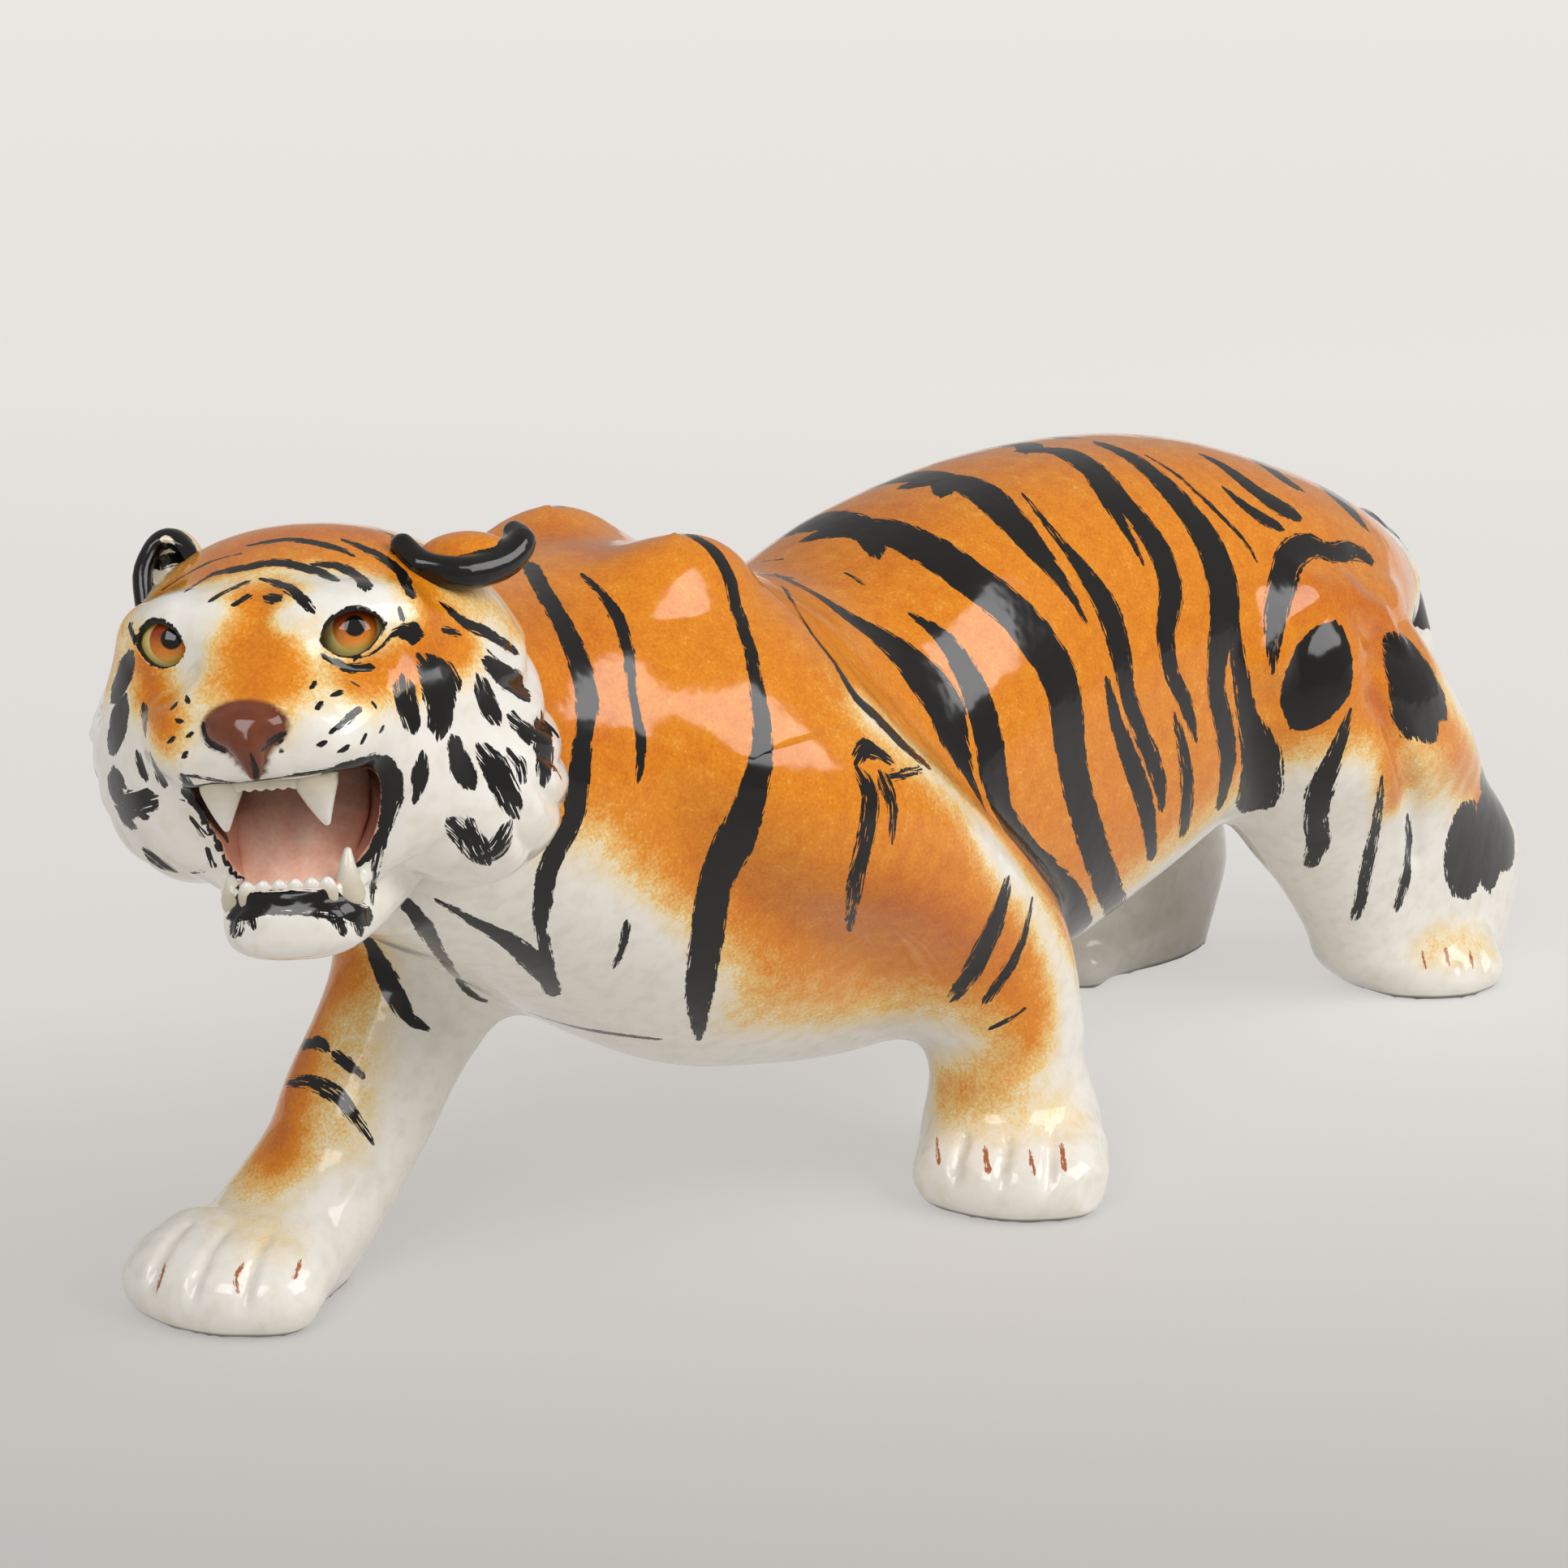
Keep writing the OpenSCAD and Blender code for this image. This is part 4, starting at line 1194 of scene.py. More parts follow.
    def eyeball(self, s: int, studio: "Studio") -> Skin:
        """An eye: a ball whose rings run round the line of sight, closed at both ends by strips across the
        last ring, with each point's place across that line from the iris' middle.

        Args:
            s: 1 on the left, -1 on the right.
            studio: says through which point of the ball the photograph shows the iris.

        Returns:
            The eye's skin.
        """
        gaze = np.array(self.gaze)
        side = np.cross([0, 0, 1], gaze)
        side /= np.linalg.norm(side)
        up = np.cross(gaze, side)
        rings, sides = 40, 48
        a = np.linspace(0.02, np.pi - 0.02, rings)[:, None]
        b = np.linspace(0, 2 * np.pi, sides, endpoint=False)[None]
        ball = np.stack([np.cos(a) + 0 * b, np.sin(a) * np.cos(b), np.sin(a) * np.sin(b)], -1).reshape(-1, 3)
        i, j = np.meshgrid(np.arange(rings - 1) * sides, np.arange(sides), indexing="ij")
        k = (j + 1) % sides
        wall = np.stack([i + j, i + sides + j, i + sides + k, i + k], -1).reshape(-1, 4)
        n = np.arange(sides // 2 - 1)
        cap = np.stack([n, n + 1, sides - 2 - n, sides - 1 - n], 1)
        quads = np.vstack([wall, cap, cap[:, ::-1] + (rings - 1) * sides])
        middle = self.socket(s)[0]
        points = self.world(middle + self.eye_radius * ball @ np.stack([gaze, side, up]))
        ray = studio.rays(np.array([self.iris_pixels[s].split(",")], float))[0]
        eye = np.array(studio.place)
        centre = self.world(middle[None])[0]
        iris = eye + ray * ((centre - eye) @ ray) - centre
        across = (points - centre - iris) @ (np.stack([side, up]) @ self.frame).T
        name = "eye_left" if s > 0 else "eye_right"
        place = np.hstack([across, np.where(ball[:, :1] > 0, 0, 20)])
        return Skin(name + "_ball", (name,), "glaze_amber", points, quads, {"gaze": place})

    def skins(self) -> list[Skin]:
        """Meshes the head's painted castings.

        Returns:
            The skins of the head, the lower jaw and the ears.
        """
        slot = "glaze_orange"
        ears = [
            self.mesh("ear_left", slot, self.ear_left, (-22, 20, 32), (8, 62, 54), 0.9),
            self.mesh("ear_right", slot, self.ear_right, (-24, -44, 30), (4, -18, 58), 0.8)]
        for ear, rim, front in zip(ears, (self.left_rim, self.right_rim), (0.85, 0.12)):
            q = self.local(ear.points)
            edge = smooth((0.9 - chain(q, spline(rim, self.rim_stations))) / 0.5)
            ear.marks = {"orange": front + (0.85 - front) * smooth((-10 - q[:, 0]) / 6), "ink": edge}
        return [self.half(False), self.half(True), *ears]

    def tooth(self, name: str, shape: Field, low: tuple, high: tuple, gum: float, length: float) -> Skin:
        """Meshes a tooth or a strip of teeth.

        Args:
            name: the solid that it replaces.
            shape: signed distance in the head's frame.
            low: lowest corner of its box.
            high: highest corner.
            gum: height of its root in the head's frame.
            length: its length, less than 0 downwards.

        Returns:
            The tooth's skin, marked by nearness to the gum.
        """
        skin = self.mesh(name, "glaze_ivory", shape, low, high, 0.5)
        skin.marks["gum"] = 1 - np.clip((self.local(skin.points)[:, 2] - gum) / length, 0, 1)
        return skin

    def fittings(self) -> list[Skin]:
        """Meshes the tongue and the teeth.

        Returns:
            Their skins.
        """
        made = [self.mesh("tongue", "glaze_pink", self.tongue, (4, -20, -34), (48, 20, 6), 1.0)]
        for s, side in ((1, "left"), (-1, "right")):
            tall = 10.5 if s > 0 else 5.5
            upper = partial(self.fang, root=(51, 11.0 * s, 5.5), tip=(48.5, 11.8 * s, -6.2), r=5.4)
            lower = partial(self.fang, root=(41, 13.2 * s, -26.5), tip=(41, 14.2 * s, tall - 26.5), r=4.0)
            made.append(self.tooth(
                f"upper_canine_{side}", upper, (44, 11.5 * s - 8, -10), (58, 11.5 * s + 8, 13), 5.5, -10))
            made.append(self.tooth(
                f"lower_canine_{side}", lower, (34, 14 * s - 8, -33), (48, 14 * s + 8, -13), -24.5, tall))
        upper = partial(self.row, reach=53.5, half=6.5, up=6.2, tall=-1.4)
        lower = partial(self.row, reach=45.5, half=9.5, up=-24.5, tall=3)
        made.append(self.tooth("upper_incisors", upper, (49, -11, 1), (58, 11, 9), 5.0, -2))
        made.append(self.tooth("lower_incisors", lower, (40, -13, -29), (50, 13, -19), -24, 3))
        return made


# Brush strokes and airbrush passes, as the photograph shows them

FACE_STROKES = {
    "brow_bar_left": Stroke("323,713 358,726 384,752", (0.9, 1.7, 1.3)),
    "brow_bar_right": Stroke("305,717 279,728 258,741", (1.2, 1, 0.7)),
    "brow_dash_right": Stroke("287,745 308,734", (0.8, 1.2)),
    "brow_dot": Stroke("330,736 342,739", (1.8, 1.7)),
    "forehead_arch_low": Stroke(
        "227,730 262,708 301,700 340,693 384,702 414,715",
        (0.5, 1.2, 2, 2, 2.1, 1.6)),
    "forehead_arch_left": Stroke("384,695 418,698 444,713 449,724", (1, 2, 2.1, 2.1)),
    "forehead_arch_high": Stroke("305,672 358,665 410,674 436,685", (0.7, 1.6, 1.6, 0.7)),
    "temple_stroke": Stroke("423,665 462,682 492,704 507,734", (0.9, 2, 2.2, 1.6)),
    "crown_dash": Stroke("462,650 496,665", (0.7, 1.2)),
    "forehead_line_right": Stroke("201,726 253,695 297,682", (0.5, 0.8, 0.4)),
    "lid_low_left": Stroke("399,808 427,823 457,823", (1, 1.3, 1)),
    "lid_crease_left": Stroke("406,801 432,809 458,806 480,786", (0.3, 0.5, 0.5, 0.4)),
    "eye_corner_left": Stroke("480,784 494,778 512,780", (0.5, 1.8, 2.9)),
    "eye_corner_tick": Stroke("493,750 496,762", (0.8, 1)),
    "temple_dash_right": Stroke("160,770 166,792", (1.3, 0.8)),
    "whisker_dash": Stroke("409,901 443,874", (0.8, 1)),
    "whisker_dot_front_low": Stroke("394,917 399,915", (1, 1)),
    "whisker_dot_mid_low": Stroke("420,925 428,920", (1.2, 0.9)),
    "whisker_dot_back_low": Stroke("446,914 451,906", (0.7, 0.8)),
    "whisker_dot_far_low": Stroke("468,902 472,896", (0.7, 0.7)),
    "whisker_dot_front_high": Stroke("384,846 388,841", (0.9, 0.7)),
    "whisker_dot_mid_high": Stroke("411,856 420,852", (1, 1)),
    "whisker_dot_back_high": Stroke("435,841 441,845", (0.8, 0.8)),
    "whisker_dot_mid": Stroke("390,872 396,866", (0.8, 0.8)),
    "whisker_dot_far": Stroke("458,864 462,870", (0.7, 0.8)),
    "far_temple_blade": Stroke("163,806 152,832 140,858", (1.6, 3.7, 2.6)),
    "far_cheek_blade": Stroke("153,866 146,890 136,922", (2.9, 4.6, 2.6)),
    "far_cheek_dash": Stroke("177,870 178,888 179,904", (1.3, 2.1, 1.3)),
    "far_jowl_dash_front": Stroke("170,930 178,956", (1.6, 1.9)),
    "far_jowl_dash_back": Stroke("187,932 200,964", (1.3, 2.1)),
    "far_ruff_ring_top": Stroke("136,968 143,958 151,966", (2.2, 2.7, 2.2)),
    "far_ruff_ring_low": Stroke("136,970 141,980 151,978", (2.2, 2.6, 1.6)),
    "far_ruff_bar": Stroke("149,998 166,990 187,983", (3.4, 3.4, 2.9), dry=0.5),
    "far_ruff_blot": Stroke("150,1002 160,1012", (4.2, 3.4), dry=0.5),
    "far_ruff_dot": Stroke("175,1006 180,1006", (1.4, 1.4)),
    "far_ruff_smudge": Stroke("190,1056 204,1066", (4.2, 3.7), dry=0.8),
    "far_lip_dash": Stroke("235,1007 252,1029", (0.8, 1), dry=0.5),
    "far_lip_dash_low": Stroke("256,1046 262,1067", (0.9, 1), dry=0.5),
    "far_lip_line": Stroke("235,1076 252,1073", (0.5, 0.5), dry=0.5),
    "far_whisker_dot_1": Stroke("212,872 217,867", (0.8, 0.8)),
    "far_whisker_dot_2": Stroke("230,858 232,864", (0.8, 0.8)),
    "far_whisker_dot_3": Stroke("219,887 223,888", (0.9, 0.9)),
    "far_whisker_dot_4": Stroke("231,907 236,904", (0.8, 0.8)),
    "far_whisker_dot_5": Stroke("208,914 213,910", (0.9, 0.9)),
    "far_whisker_dot_6": Stroke("226,932 229,928", (0.7, 0.7)),
    "lip_top": Stroke("226,955 285,964 316,962 354,957 411,948 459,936", (0.7, 0.7, 0.7, 0.8, 1.3, 2.1)),
    "lip_corner": Stroke("425,941 458,938 484,956 490,980", (0.8, 1.6, 2.2, 1.8)),
    "lip_side_left": Stroke("488,980 474,1022 464,1062 458,1112", (2.4, 1.6, 1.2, 1), dry=0.35),
    "lip_side_right": Stroke("226,956 243,984 262,1010 280,1034", (1.3, 2.1, 2.0, 1.2), dry=0.2),
    "lower_lip": Stroke(
        "290,1124 312,1116 345,1112 385,1113 425,1119 456,1130",
        (4, 3.2, 3, 3.2, 3.4, 2.6), dry=0.35),
    "lower_lip_drip_right": Stroke("294,1120 287,1148", (3.6, 2.2), dry=0.9),
    "lower_lip_drip_front": Stroke("310,1118 312,1142", (2.4, 0.9), dry=0.9),
    "lower_lip_drip_mid": Stroke("388,1116 392,1130", (2, 0.7), dry=0.9),
    "lower_lip_drip_left": Stroke("416,1122 424,1150", (2.8, 1.2), dry=0.9),
    "lower_lip_drip_corner": Stroke("438,1126 446,1150", (2.8, 1.1), dry=0.9),
    "nose_cleft": Stroke("309,930 314,946 316,962", (0.5, 0.9, 0.7)),
    "ear_right_band": Stroke("176,700 200,692 222,688 238,680", (1.4, 1.8, 1.8, 1.2)),
    "nostril_right": Stroke("251,893 257,914 276,924", (0.6, 1.2, 0.9)),
    "nostril_left": Stroke("325,922 338,912 351,902", (0.9, 1.4, 0.7)),
}
CHEEK_STROKES = {
    "cheek_ray_top": Stroke("546,745 573,767 604,782 638,804", (1.3, 2, 2.1, 1)),
    "cheek_ray_nick": Stroke("546,776 567,781", (1.2, 0.8)),
    "cheek_ray_mid": Stroke("598,816 619,831 641,847", (1.9, 3.5, 3.5)),
    "cheek_ray_line": Stroke("600,800 628,830 646,852", (0.4, 0.5, 0.4)),
    "cheek_wedge": Stroke("516,808 540,838 546,852", (1.2, 6.8, 6.8), dry=0.5),
    "cheek_wedge_foot": Stroke("540,850 543,875 542,898", (5, 4.1, 3.5), dry=0.5),
    "cheek_block": Stroke("497,843 500,865 509,895", (2.8, 3.5, 2.5), dry=0.5),
    "ruff_block_high": Stroke("592,843 600,865 612,885", (3.1, 3.7, 2.5), dry=0.5),
    "ruff_dash_high": Stroke("631,886 656,905", (2.5, 3.1), dry=0.5),
    "ruff_edge": Stroke("668,886 671,926 671,963", (2.8, 4.3, 1.9), dry=0.4),
    "jowl_leaf": Stroke("520,928 518,955 511,987", (1, 2.6, 0.9)),
    "ruff_leaf": Stroke("558,911 567,941 579,963", (1.9, 3.5, 2.8)),
    "ruff_leaf_long": Stroke("592,923 613,951 628,984 638,1006", (2.2, 4.1, 3.5, 1.2), dry=0.6),
    "ruff_leaf_short": Stroke("628,926 641,944 644,963", (1.4, 1.9, 1.4), dry=0.5),
    "ruff_smudge_left": Stroke("555,1012 573,1030 592,1058", (1.9, 3.5, 2.5), dry=0.95),
    "ruff_smudge_right": Stroke("592,1058 613,1046 628,1018", (2.5, 3.7, 2.2), dry=0.95),
    "ruff_smudge_mid": Stroke("578,1012 588,1040 600,1062", (1.5, 2.6, 2), dry=0.95),
}
BODY_STROKES = {
    "neck_band": Stroke(
        "649,690 677,741 703,789 719,837 723,875 719,907 712,971 706,1009 677,1066 668,1117 668,1150 "
        "680,1225",
        (2.3, 3.2, 3.7, 3.7, 3.7, 2.8, 3.9, 3.4, 3.4, 2.8, 1.6, 2.5)),
    "throat_band": Stroke(
        "716,706 744,735 760,760 773,799 779,850 789,907 789,939 786,964",
        (0.9, 1.6, 2.3, 2, 1.4, 1.6, 1.4, 0.5)),
    "shoulder_band": Stroke(
        "843,655 875,674 897,706 907,748 923,795 932,843 939,891 939,923 934,955 923,993 901,1044 "
        "881,1092 870,1164 862,1225 861,1281",
        (1.8, 2.5, 3, 2.3, 2.2, 2.2, 2.8, 3.2, 3.7, 4.4, 5.8, 5.5, 5.1, 4.1, 1)),
    "rib_band": Stroke("957,708 1007,734 1053,765 1099,796 1137,834 1164,872 1176,910 1191,949 1214,998",
                       (1.4, 2.5, 3.9, 5.3, 7.4, 7.8, 6, 3.2, 0.8), dry=0.35),
    "rib_prong": Stroke(
        "965,723 1000,780 1030,819 1053,857 1084,887 1114,918 1145,945",
        (1, 1.1, 1.5, 2.3, 3, 2.8, 1.4)),
    "flank_band_front": Stroke(
        "1122,757 1160,784 1187,822 1206,864 1218,910 1225,960 1237,1006 1267,1048 1298,1086 1321,1120 "
        "1330,1165 1312,1192",
        (1, 2.8, 4.4, 5.3, 5.8, 5.8, 5.5, 5.3, 5.5, 5.8, 5.5, 3.9)),
    "flank_band_main": Stroke(
        "992,665 1030,654 1084,652 1137,673 1191,708 1244,750 1283,796 1309,845 1317,903 1325,960 "
        "1340,1018 1359,1075 1375,1120 1380,1150",
        (2.3, 4.1, 5.8, 6.7, 6.9, 7.1, 7.4, 7.6, 7.4, 6.4, 6, 5.3, 4.4, 1.7), dry=0.3),
    "loin_band_front": Stroke(
        "1114,600 1160,591 1206,604 1244,639 1283,685 1313,723 1340,769",
        (2.8, 5.3, 6.4, 6, 4.4, 2.3, 0.6)),
    "loin_leaf": Stroke("1260,608 1302,662 1340,711 1367,757 1382,811 1390,857 1409,910 1428,960 1432,998",
                        (0.7, 1.8, 3.7, 5.3, 4.6, 3.4, 3.7, 3.4, 1.4), dry=0.35),
    "loin_leaf_low": Stroke("1363,834 1375,887 1394,941 1413,998 1420,1056", (1.1, 2.8, 3.9, 3.7, 2.3)),
    "hip_band": Stroke(
        "1256,556 1306,556 1344,577 1378,612 1413,654 1436,696 1443,734 1436,780 1443,826 1463,872 "
        "1474,914",
        (2.3, 5.1, 5.8, 4.6, 4.8, 5.3, 5.3, 4.4, 3.4, 3, 0.9), dry=0.3),
    "hip_prong": Stroke("1344,577 1371,627 1394,665 1409,696", (4.1, 3, 1.6, 0.7)),
    "groin_leaf": Stroke("1447,880 1459,933 1463,979 1459,1025", (1.1, 2.8, 3.4, 3), dry=0.5),
    "haunch_band": Stroke(
        "1352,545 1400,567 1447,610 1485,662 1504,709 1509,756 1501,803 1499,850 1509,898 1513,945 "
        "1504,992",
        (2.3, 4.1, 5.3, 6.2, 7.1, 7.1, 5.3, 4.1, 4.4, 4.1, 2.8), dry=0.3),
    "haunch_branch": Stroke(
        "1518,756 1527,827 1537,888 1551,935 1548,982 1537,997",
        (2.8, 3.4, 4.6, 7.4, 7.8, 3.4), dry=0.45),
    "rump_bar_front": Stroke("1480,560 1507,574 1539,598 1568,619 1598,635", (1.4, 3, 4.1, 4.4, 3)),
    "rump_bar_low": Stroke("1507,600 1534,624 1560,641 1579,651", (1, 2.3, 2.8, 1.8)),
    "rump_bar_back": Stroke("1523,557 1555,571 1582,590 1603,603", (2.4, 5, 5, 2), dry=0.4),
    "croup_bar": Stroke("1598,579 1630,598 1651,616 1667,632 1684,651", (3, 6.5, 7.5, 6, 2), dry=0.4),
    "rump_line": Stroke("1410,560 1450,585 1480,612 1509,640 1534,668 1550,694", (0.6, 1, 1.1, 1.1, 1, 0.5)),
    "chest_leaf": Stroke("535,1107 579,1133 626,1159 657,1185 683,1220", (0.5, 1.6, 3, 3.9, 2.1)),
    "chest_tick": Stroke("772,1136 768,1164 756,1193", (1.1, 1.4, 0.7)),
    "back_tick": Stroke("1040,705 1068,722", (0.6, 0.5)),
}
HIND_STROKES = {
    "haunch_arch": Stroke("1568,828 1571,761 1579,721 1587,691 1603,675 1619,673 1641,681 1668,678 1689,689",
                          (1, 4.1, 5, 5.3, 4.8, 4.3, 3.8, 3.6, 2.6), dry=0.4),
    "knee_oval": Stroke("1645,785 1636,812 1624,842 1607,880", (7, 11, 12, 8), dry=0.05),
    "thigh_back_patch": Stroke("1716,795 1738,842 1757,880 1764,900", (6, 12, 12, 6), dry=0.5),
    "thigh_back_edge": Stroke("1730,788 1752,826 1776,872", (4, 7.5, 6), dry=0.4),
    "hock_patch": Stroke("1800,1010 1806,1040 1812,1080", (9, 13, 11), dry=0.5),
    "hock_edge": Stroke("1826,958 1846,1000 1860,1050", (4.5, 9.5, 9), dry=0.3),
    "hock_middle": Stroke("1826,995 1838,1035 1838,1078", (7, 10, 8), dry=0.4),
    "shin_stroke_front": Stroke(
        "1664,876 1647,925 1627,974 1621,1011 1624,1037 1615,1066",
        (1.2, 3.1, 4.6, 3.8, 4.3, 2.4), dry=0.4),
    "shin_stroke_mid": Stroke(
        "1703,957 1696,1009 1685,1066 1676,1109 1670,1132",
        (0.8, 2.2, 2.9, 2.6, 1.7), dry=0.5),
    "shin_stroke_back": Stroke("1734,1004 1735,1045 1731,1085 1722,1118", (1, 2.5, 2.7, 1.9), dry=0.5),
    "hind_claw_front": Stroke("1752,1172 1756,1192", (0.6, 0.8), Coat.RUST),
    "hind_claw_mid": Stroke("1781,1168 1785,1188", (0.5, 0.7), Coat.RUST),
    "hind_claw_back": Stroke("1811,1172 1814,1190", (0.5, 0.7), Coat.RUST),
}
FRONT_STROKES = {
    "forearm_bar": Stroke(
        "1242,1086 1227,1136 1211,1172 1196,1200 1172,1232",
        (2.2, 4.4, 4.4, 3.4, 1.5), dry=0.45),
    "forearm_line": Stroke("1272,1108 1260,1157 1242,1194 1214,1234", (1, 1.9, 2.6, 1.5), dry=0.35),
    "forearm_tick": Stroke("1263,1243 1239,1258 1217,1269", (0.6, 1, 0.6)),
    "arm_fork": Stroke("1057,948 1072,979 1068,1025 1055,1084 1046,1148", (1.8, 3.4, 3.4, 2.8, 0.7), dry=0.6),
    "arm_fork_short": Stroke("1088,960 1099,991 1099,1037", (3, 2.3, 0.9), dry=0.6),
    "arm_cap": Stroke("1055,938 1068,922 1098,938", (1.8, 3, 1.4), dry=0.4),
    "arm_cap_tail": Stroke("1100,956 1136,948", (1.8, 0.9), dry=0.6),
}
ONCE_STROKES = {
    "chest_line": Stroke("479,1094 514,1129 540,1172 574,1218 598,1234", (2.5, 2.8, 2.1, 1.5, 1.2)),
    "chest_line_low": Stroke("652,1248 703,1264 744,1272 813,1281", (1.4, 1.6, 1.8, 0.9)),
    "left_claw_outer": Stroke("1154,1402 1157,1434", (0.5, 0.7), Coat.RUST),
    "left_claw_front": Stroke("1213,1412 1218,1444", (0.6, 0.8), Coat.RUST),
    "left_claw_mid": Stroke("1268,1416 1274,1446", (0.4, 0.6), Coat.RUST),
    "left_claw_inner": Stroke("1308,1410 1312,1442", (0.7, 0.7), Coat.RUST),
    "wrist_bar": Stroke("453,1157 471,1194 486,1224 501,1250 527,1268", (2.0, 3.0, 3.2, 2.2, 1.0)),
    "wrist_ring_high": Stroke("357,1291 390,1285 405,1294", (1.6, 2.0, 1.2)),
    "wrist_ring_drop": Stroke("412,1298 431,1313 447,1326", (1.4, 1.8, 1.0)),
    "wrist_ring_low": Stroke(
        "344,1335 379,1333 409,1346 434,1372 460,1409",
        (1.2, 2.2, 2.6, 2.0, 0.7), dry=0.6),
    "right_claw_outer": Stroke("156,1520 151,1552", (0.5, 0.6), Coat.RUST),
    "right_claw_front": Stroke("203,1556 193,1592", (0.5, 0.6), Coat.RUST),
    "right_claw_mid": Stroke("300,1556 290,1576 294,1592", (0.4, 0.5, 0.4), Coat.RUST),
    "right_claw_inner": Stroke("371,1552 362,1576", (0.5, 0.5), Coat.RUST),
}
STROKES = {
    Limb.HEAD: FACE_STROKES, Limb.CHEEK: CHEEK_STROKES, Limb.BODY: BODY_STROKES, Limb.HIND: HIND_STROKES,
    Limb.FRONT: FRONT_STROKES, Limb.ONCE: ONCE_STROKES}

ORANGE_PASSES = {
    Limb.HEAD: {
        "crown": Pass("260,700 330,665 420,655 500,675", 9, 0.95),
        "nose_bridge": Pass("322,740 324,785 322,830 318,850", 10, 0.95),
        "bridge_side_left": Pass("350,800 358,835", 6, 0.5),
        "bridge_side_right": Pass("285,800 272,838", 5, 0.55),
        "under_eye_left": Pass("440,842 500,820 540,795", 8, 0.9),
        "under_eye_right": Pass("178,815 190,860 205,898", 7, 0.95),
        # Brows and left lid wiped pale: partly pale paint, partly painted lamp highlights on the bumps
        "brow_left_white_and_highlight": Pass("350,760 400,735 455,730", 4, -0.8),
        "brow_right_white_and_highlight": Pass("262,752 215,742 195,745", 4, -0.8),
        "lid_left_cream_and_highlight": Pass("380,790 365,770", 4, -0.5),
    },
    Limb.CHEEK: {
        "temple_left": Pass("500,700 530,745 565,790", 8, 0.9),
        "ear_root_yellow": Pass("560,735 600,745 632,768", 8, 0.4),
    },
    Limb.BODY: {
        "neck_front": Pass("690,760 720,900 735,990", 16, 0.8),
        "armpit_cream": Pass("1070,880 1120,925 1180,985 1245,1075", 9, -0.72),
        "chest_cream": Pass("715,1060 730,1150 760,1200", 14, -0.7),
        "belly_yellow": Pass("935,1240 1040,1230", 14, 0.32),
    },
    Limb.HIND: {
        "thigh_back": Pass("1690,760 1745,840 1800,930 1850,1030", 11, 0.85),
        "knee_rim": Pass("1590,740 1690,760 1700,840", 12, 0.7),
        "shin_cream": Pass("1600,960 1560,1010", 12, -0.6),
        "foot_cream": Pass("1765,1165 1820,1165", 9, 0.3),
        "calf_yellow": Pass("1750,920 1765,980", 9, 0.3),
        "calf_orange": Pass("1685,850 1708,910 1722,980", 8, 0.9),
    },
    Limb.FRONT: {
        "forearm_orange": Pass("1140,1110 1190,1150 1240,1180 1270,1250", 13, 0.8),
        "wrist_yellow": Pass("1165,1340 1220,1330 1275,1285", 9, 0.5),
        "forearm_white": Pass("1218,1035 1268,1105 1308,1190 1322,1260", 8, -0.85),
        "paw_cream": Pass("1190,1375 1310,1375", 11, 0.22),
    },
    Limb.ONCE: {
        "right_shin_orange": Pass("430,1185 391,1250 364,1340 343,1418", 11, 0.98),
        "right_shin_yellow": Pass("455,1230 440,1330 425,1400", 9, 0.28),
        "right_paw_cream": Pass("300,1480 330,1530", 12, 0.22),
    },
}
RUST_PASSES = {
    Limb.HEAD: {
        "crown_rust": Pass("300,672 360,655 450,655", 9, 0.55),
        "bridge_rust": Pass("300,775 318,800 345,790", 6, 0.3),
        "cheek_rust_right": Pass("184,830 192,880", 5, 0.5),
    },
    Limb.CHEEK: {
        "cheek_rust_left": Pass("470,812 540,790", 6, 0.55),
    },
    Limb.BODY: {
        "nape_rust": Pass("670,665 760,675", 12, 0.6),
        "shoulder_rust": Pass("880,1070 960,1115 1060,1130", 15, 0.55),
        "neck_rust": Pass("730,900 760,950", 10, 0.3),
        "dip_rust": Pass("940,720 990,660 1080,620", 13, 0.55),
        "loin_rust": Pass("1200,590 1350,560 1500,570", 13, 0.4),
        "rump_rust": Pass("1560,600 1650,650", 10, 0.4),
    },
    Limb.HIND: {
        "haunch_rust": Pass("1600,720 1690,745 1700,800", 10, 0.65),
        "shin_rust": Pass("1690,855 1712,900 1726,960", 5, 0.8),
    },
    Limb.FRONT: {
        "arm_rust": Pass("1090,1090 1150,1140 1190,1180", 11, 0.6),
    },
    Limb.ONCE: {
        "right_shin_rust": Pass("390,1220 362,1320 342,1400", 8, 0.6),
    },
}


# Finishes


class Graph:
    """A material and its nodes."""

    def __init__(self, name: str) -> None:
        """Starts an empty material.

        Args:
            name: its name.
        """
        self.material = bpy.data.materials.new(name)
        self.material.use_nodes = True
        self.tree = self.material.node_tree
        self.tree.nodes.clear()

    def add(self, kind: str, inputs: dict, out: int | str = 0, **settings: object) -> bpy.types.NodeSocket:
        """Adds a node.

        Args:
            kind: its type, without the common start of the name.
            inputs: for each socket, a value to set or a socket to link.
            out: which output to return.
            settings: properties of the node.

        Returns:
            One of its outputs.
        """
        node = self.tree.nodes.new("ShaderNode" + kind)
        for key, value in settings.items():
            setattr(node, key, value)
        for key, value in inputs.items():
            if isinstance(value, bpy.types.NodeSocket):
                self.tree.links.new(value, node.inputs[key])
            else:
                node.inputs[key].default_value = value
        return node.outputs[out] if node.outputs else None

    def close(self, shader: bpy.types.NodeSocket) -> bpy.types.Material:
        """Joins the shader to the material's output."""
        self.add("OutputMaterial", {"Surface": shader})
        return self.material


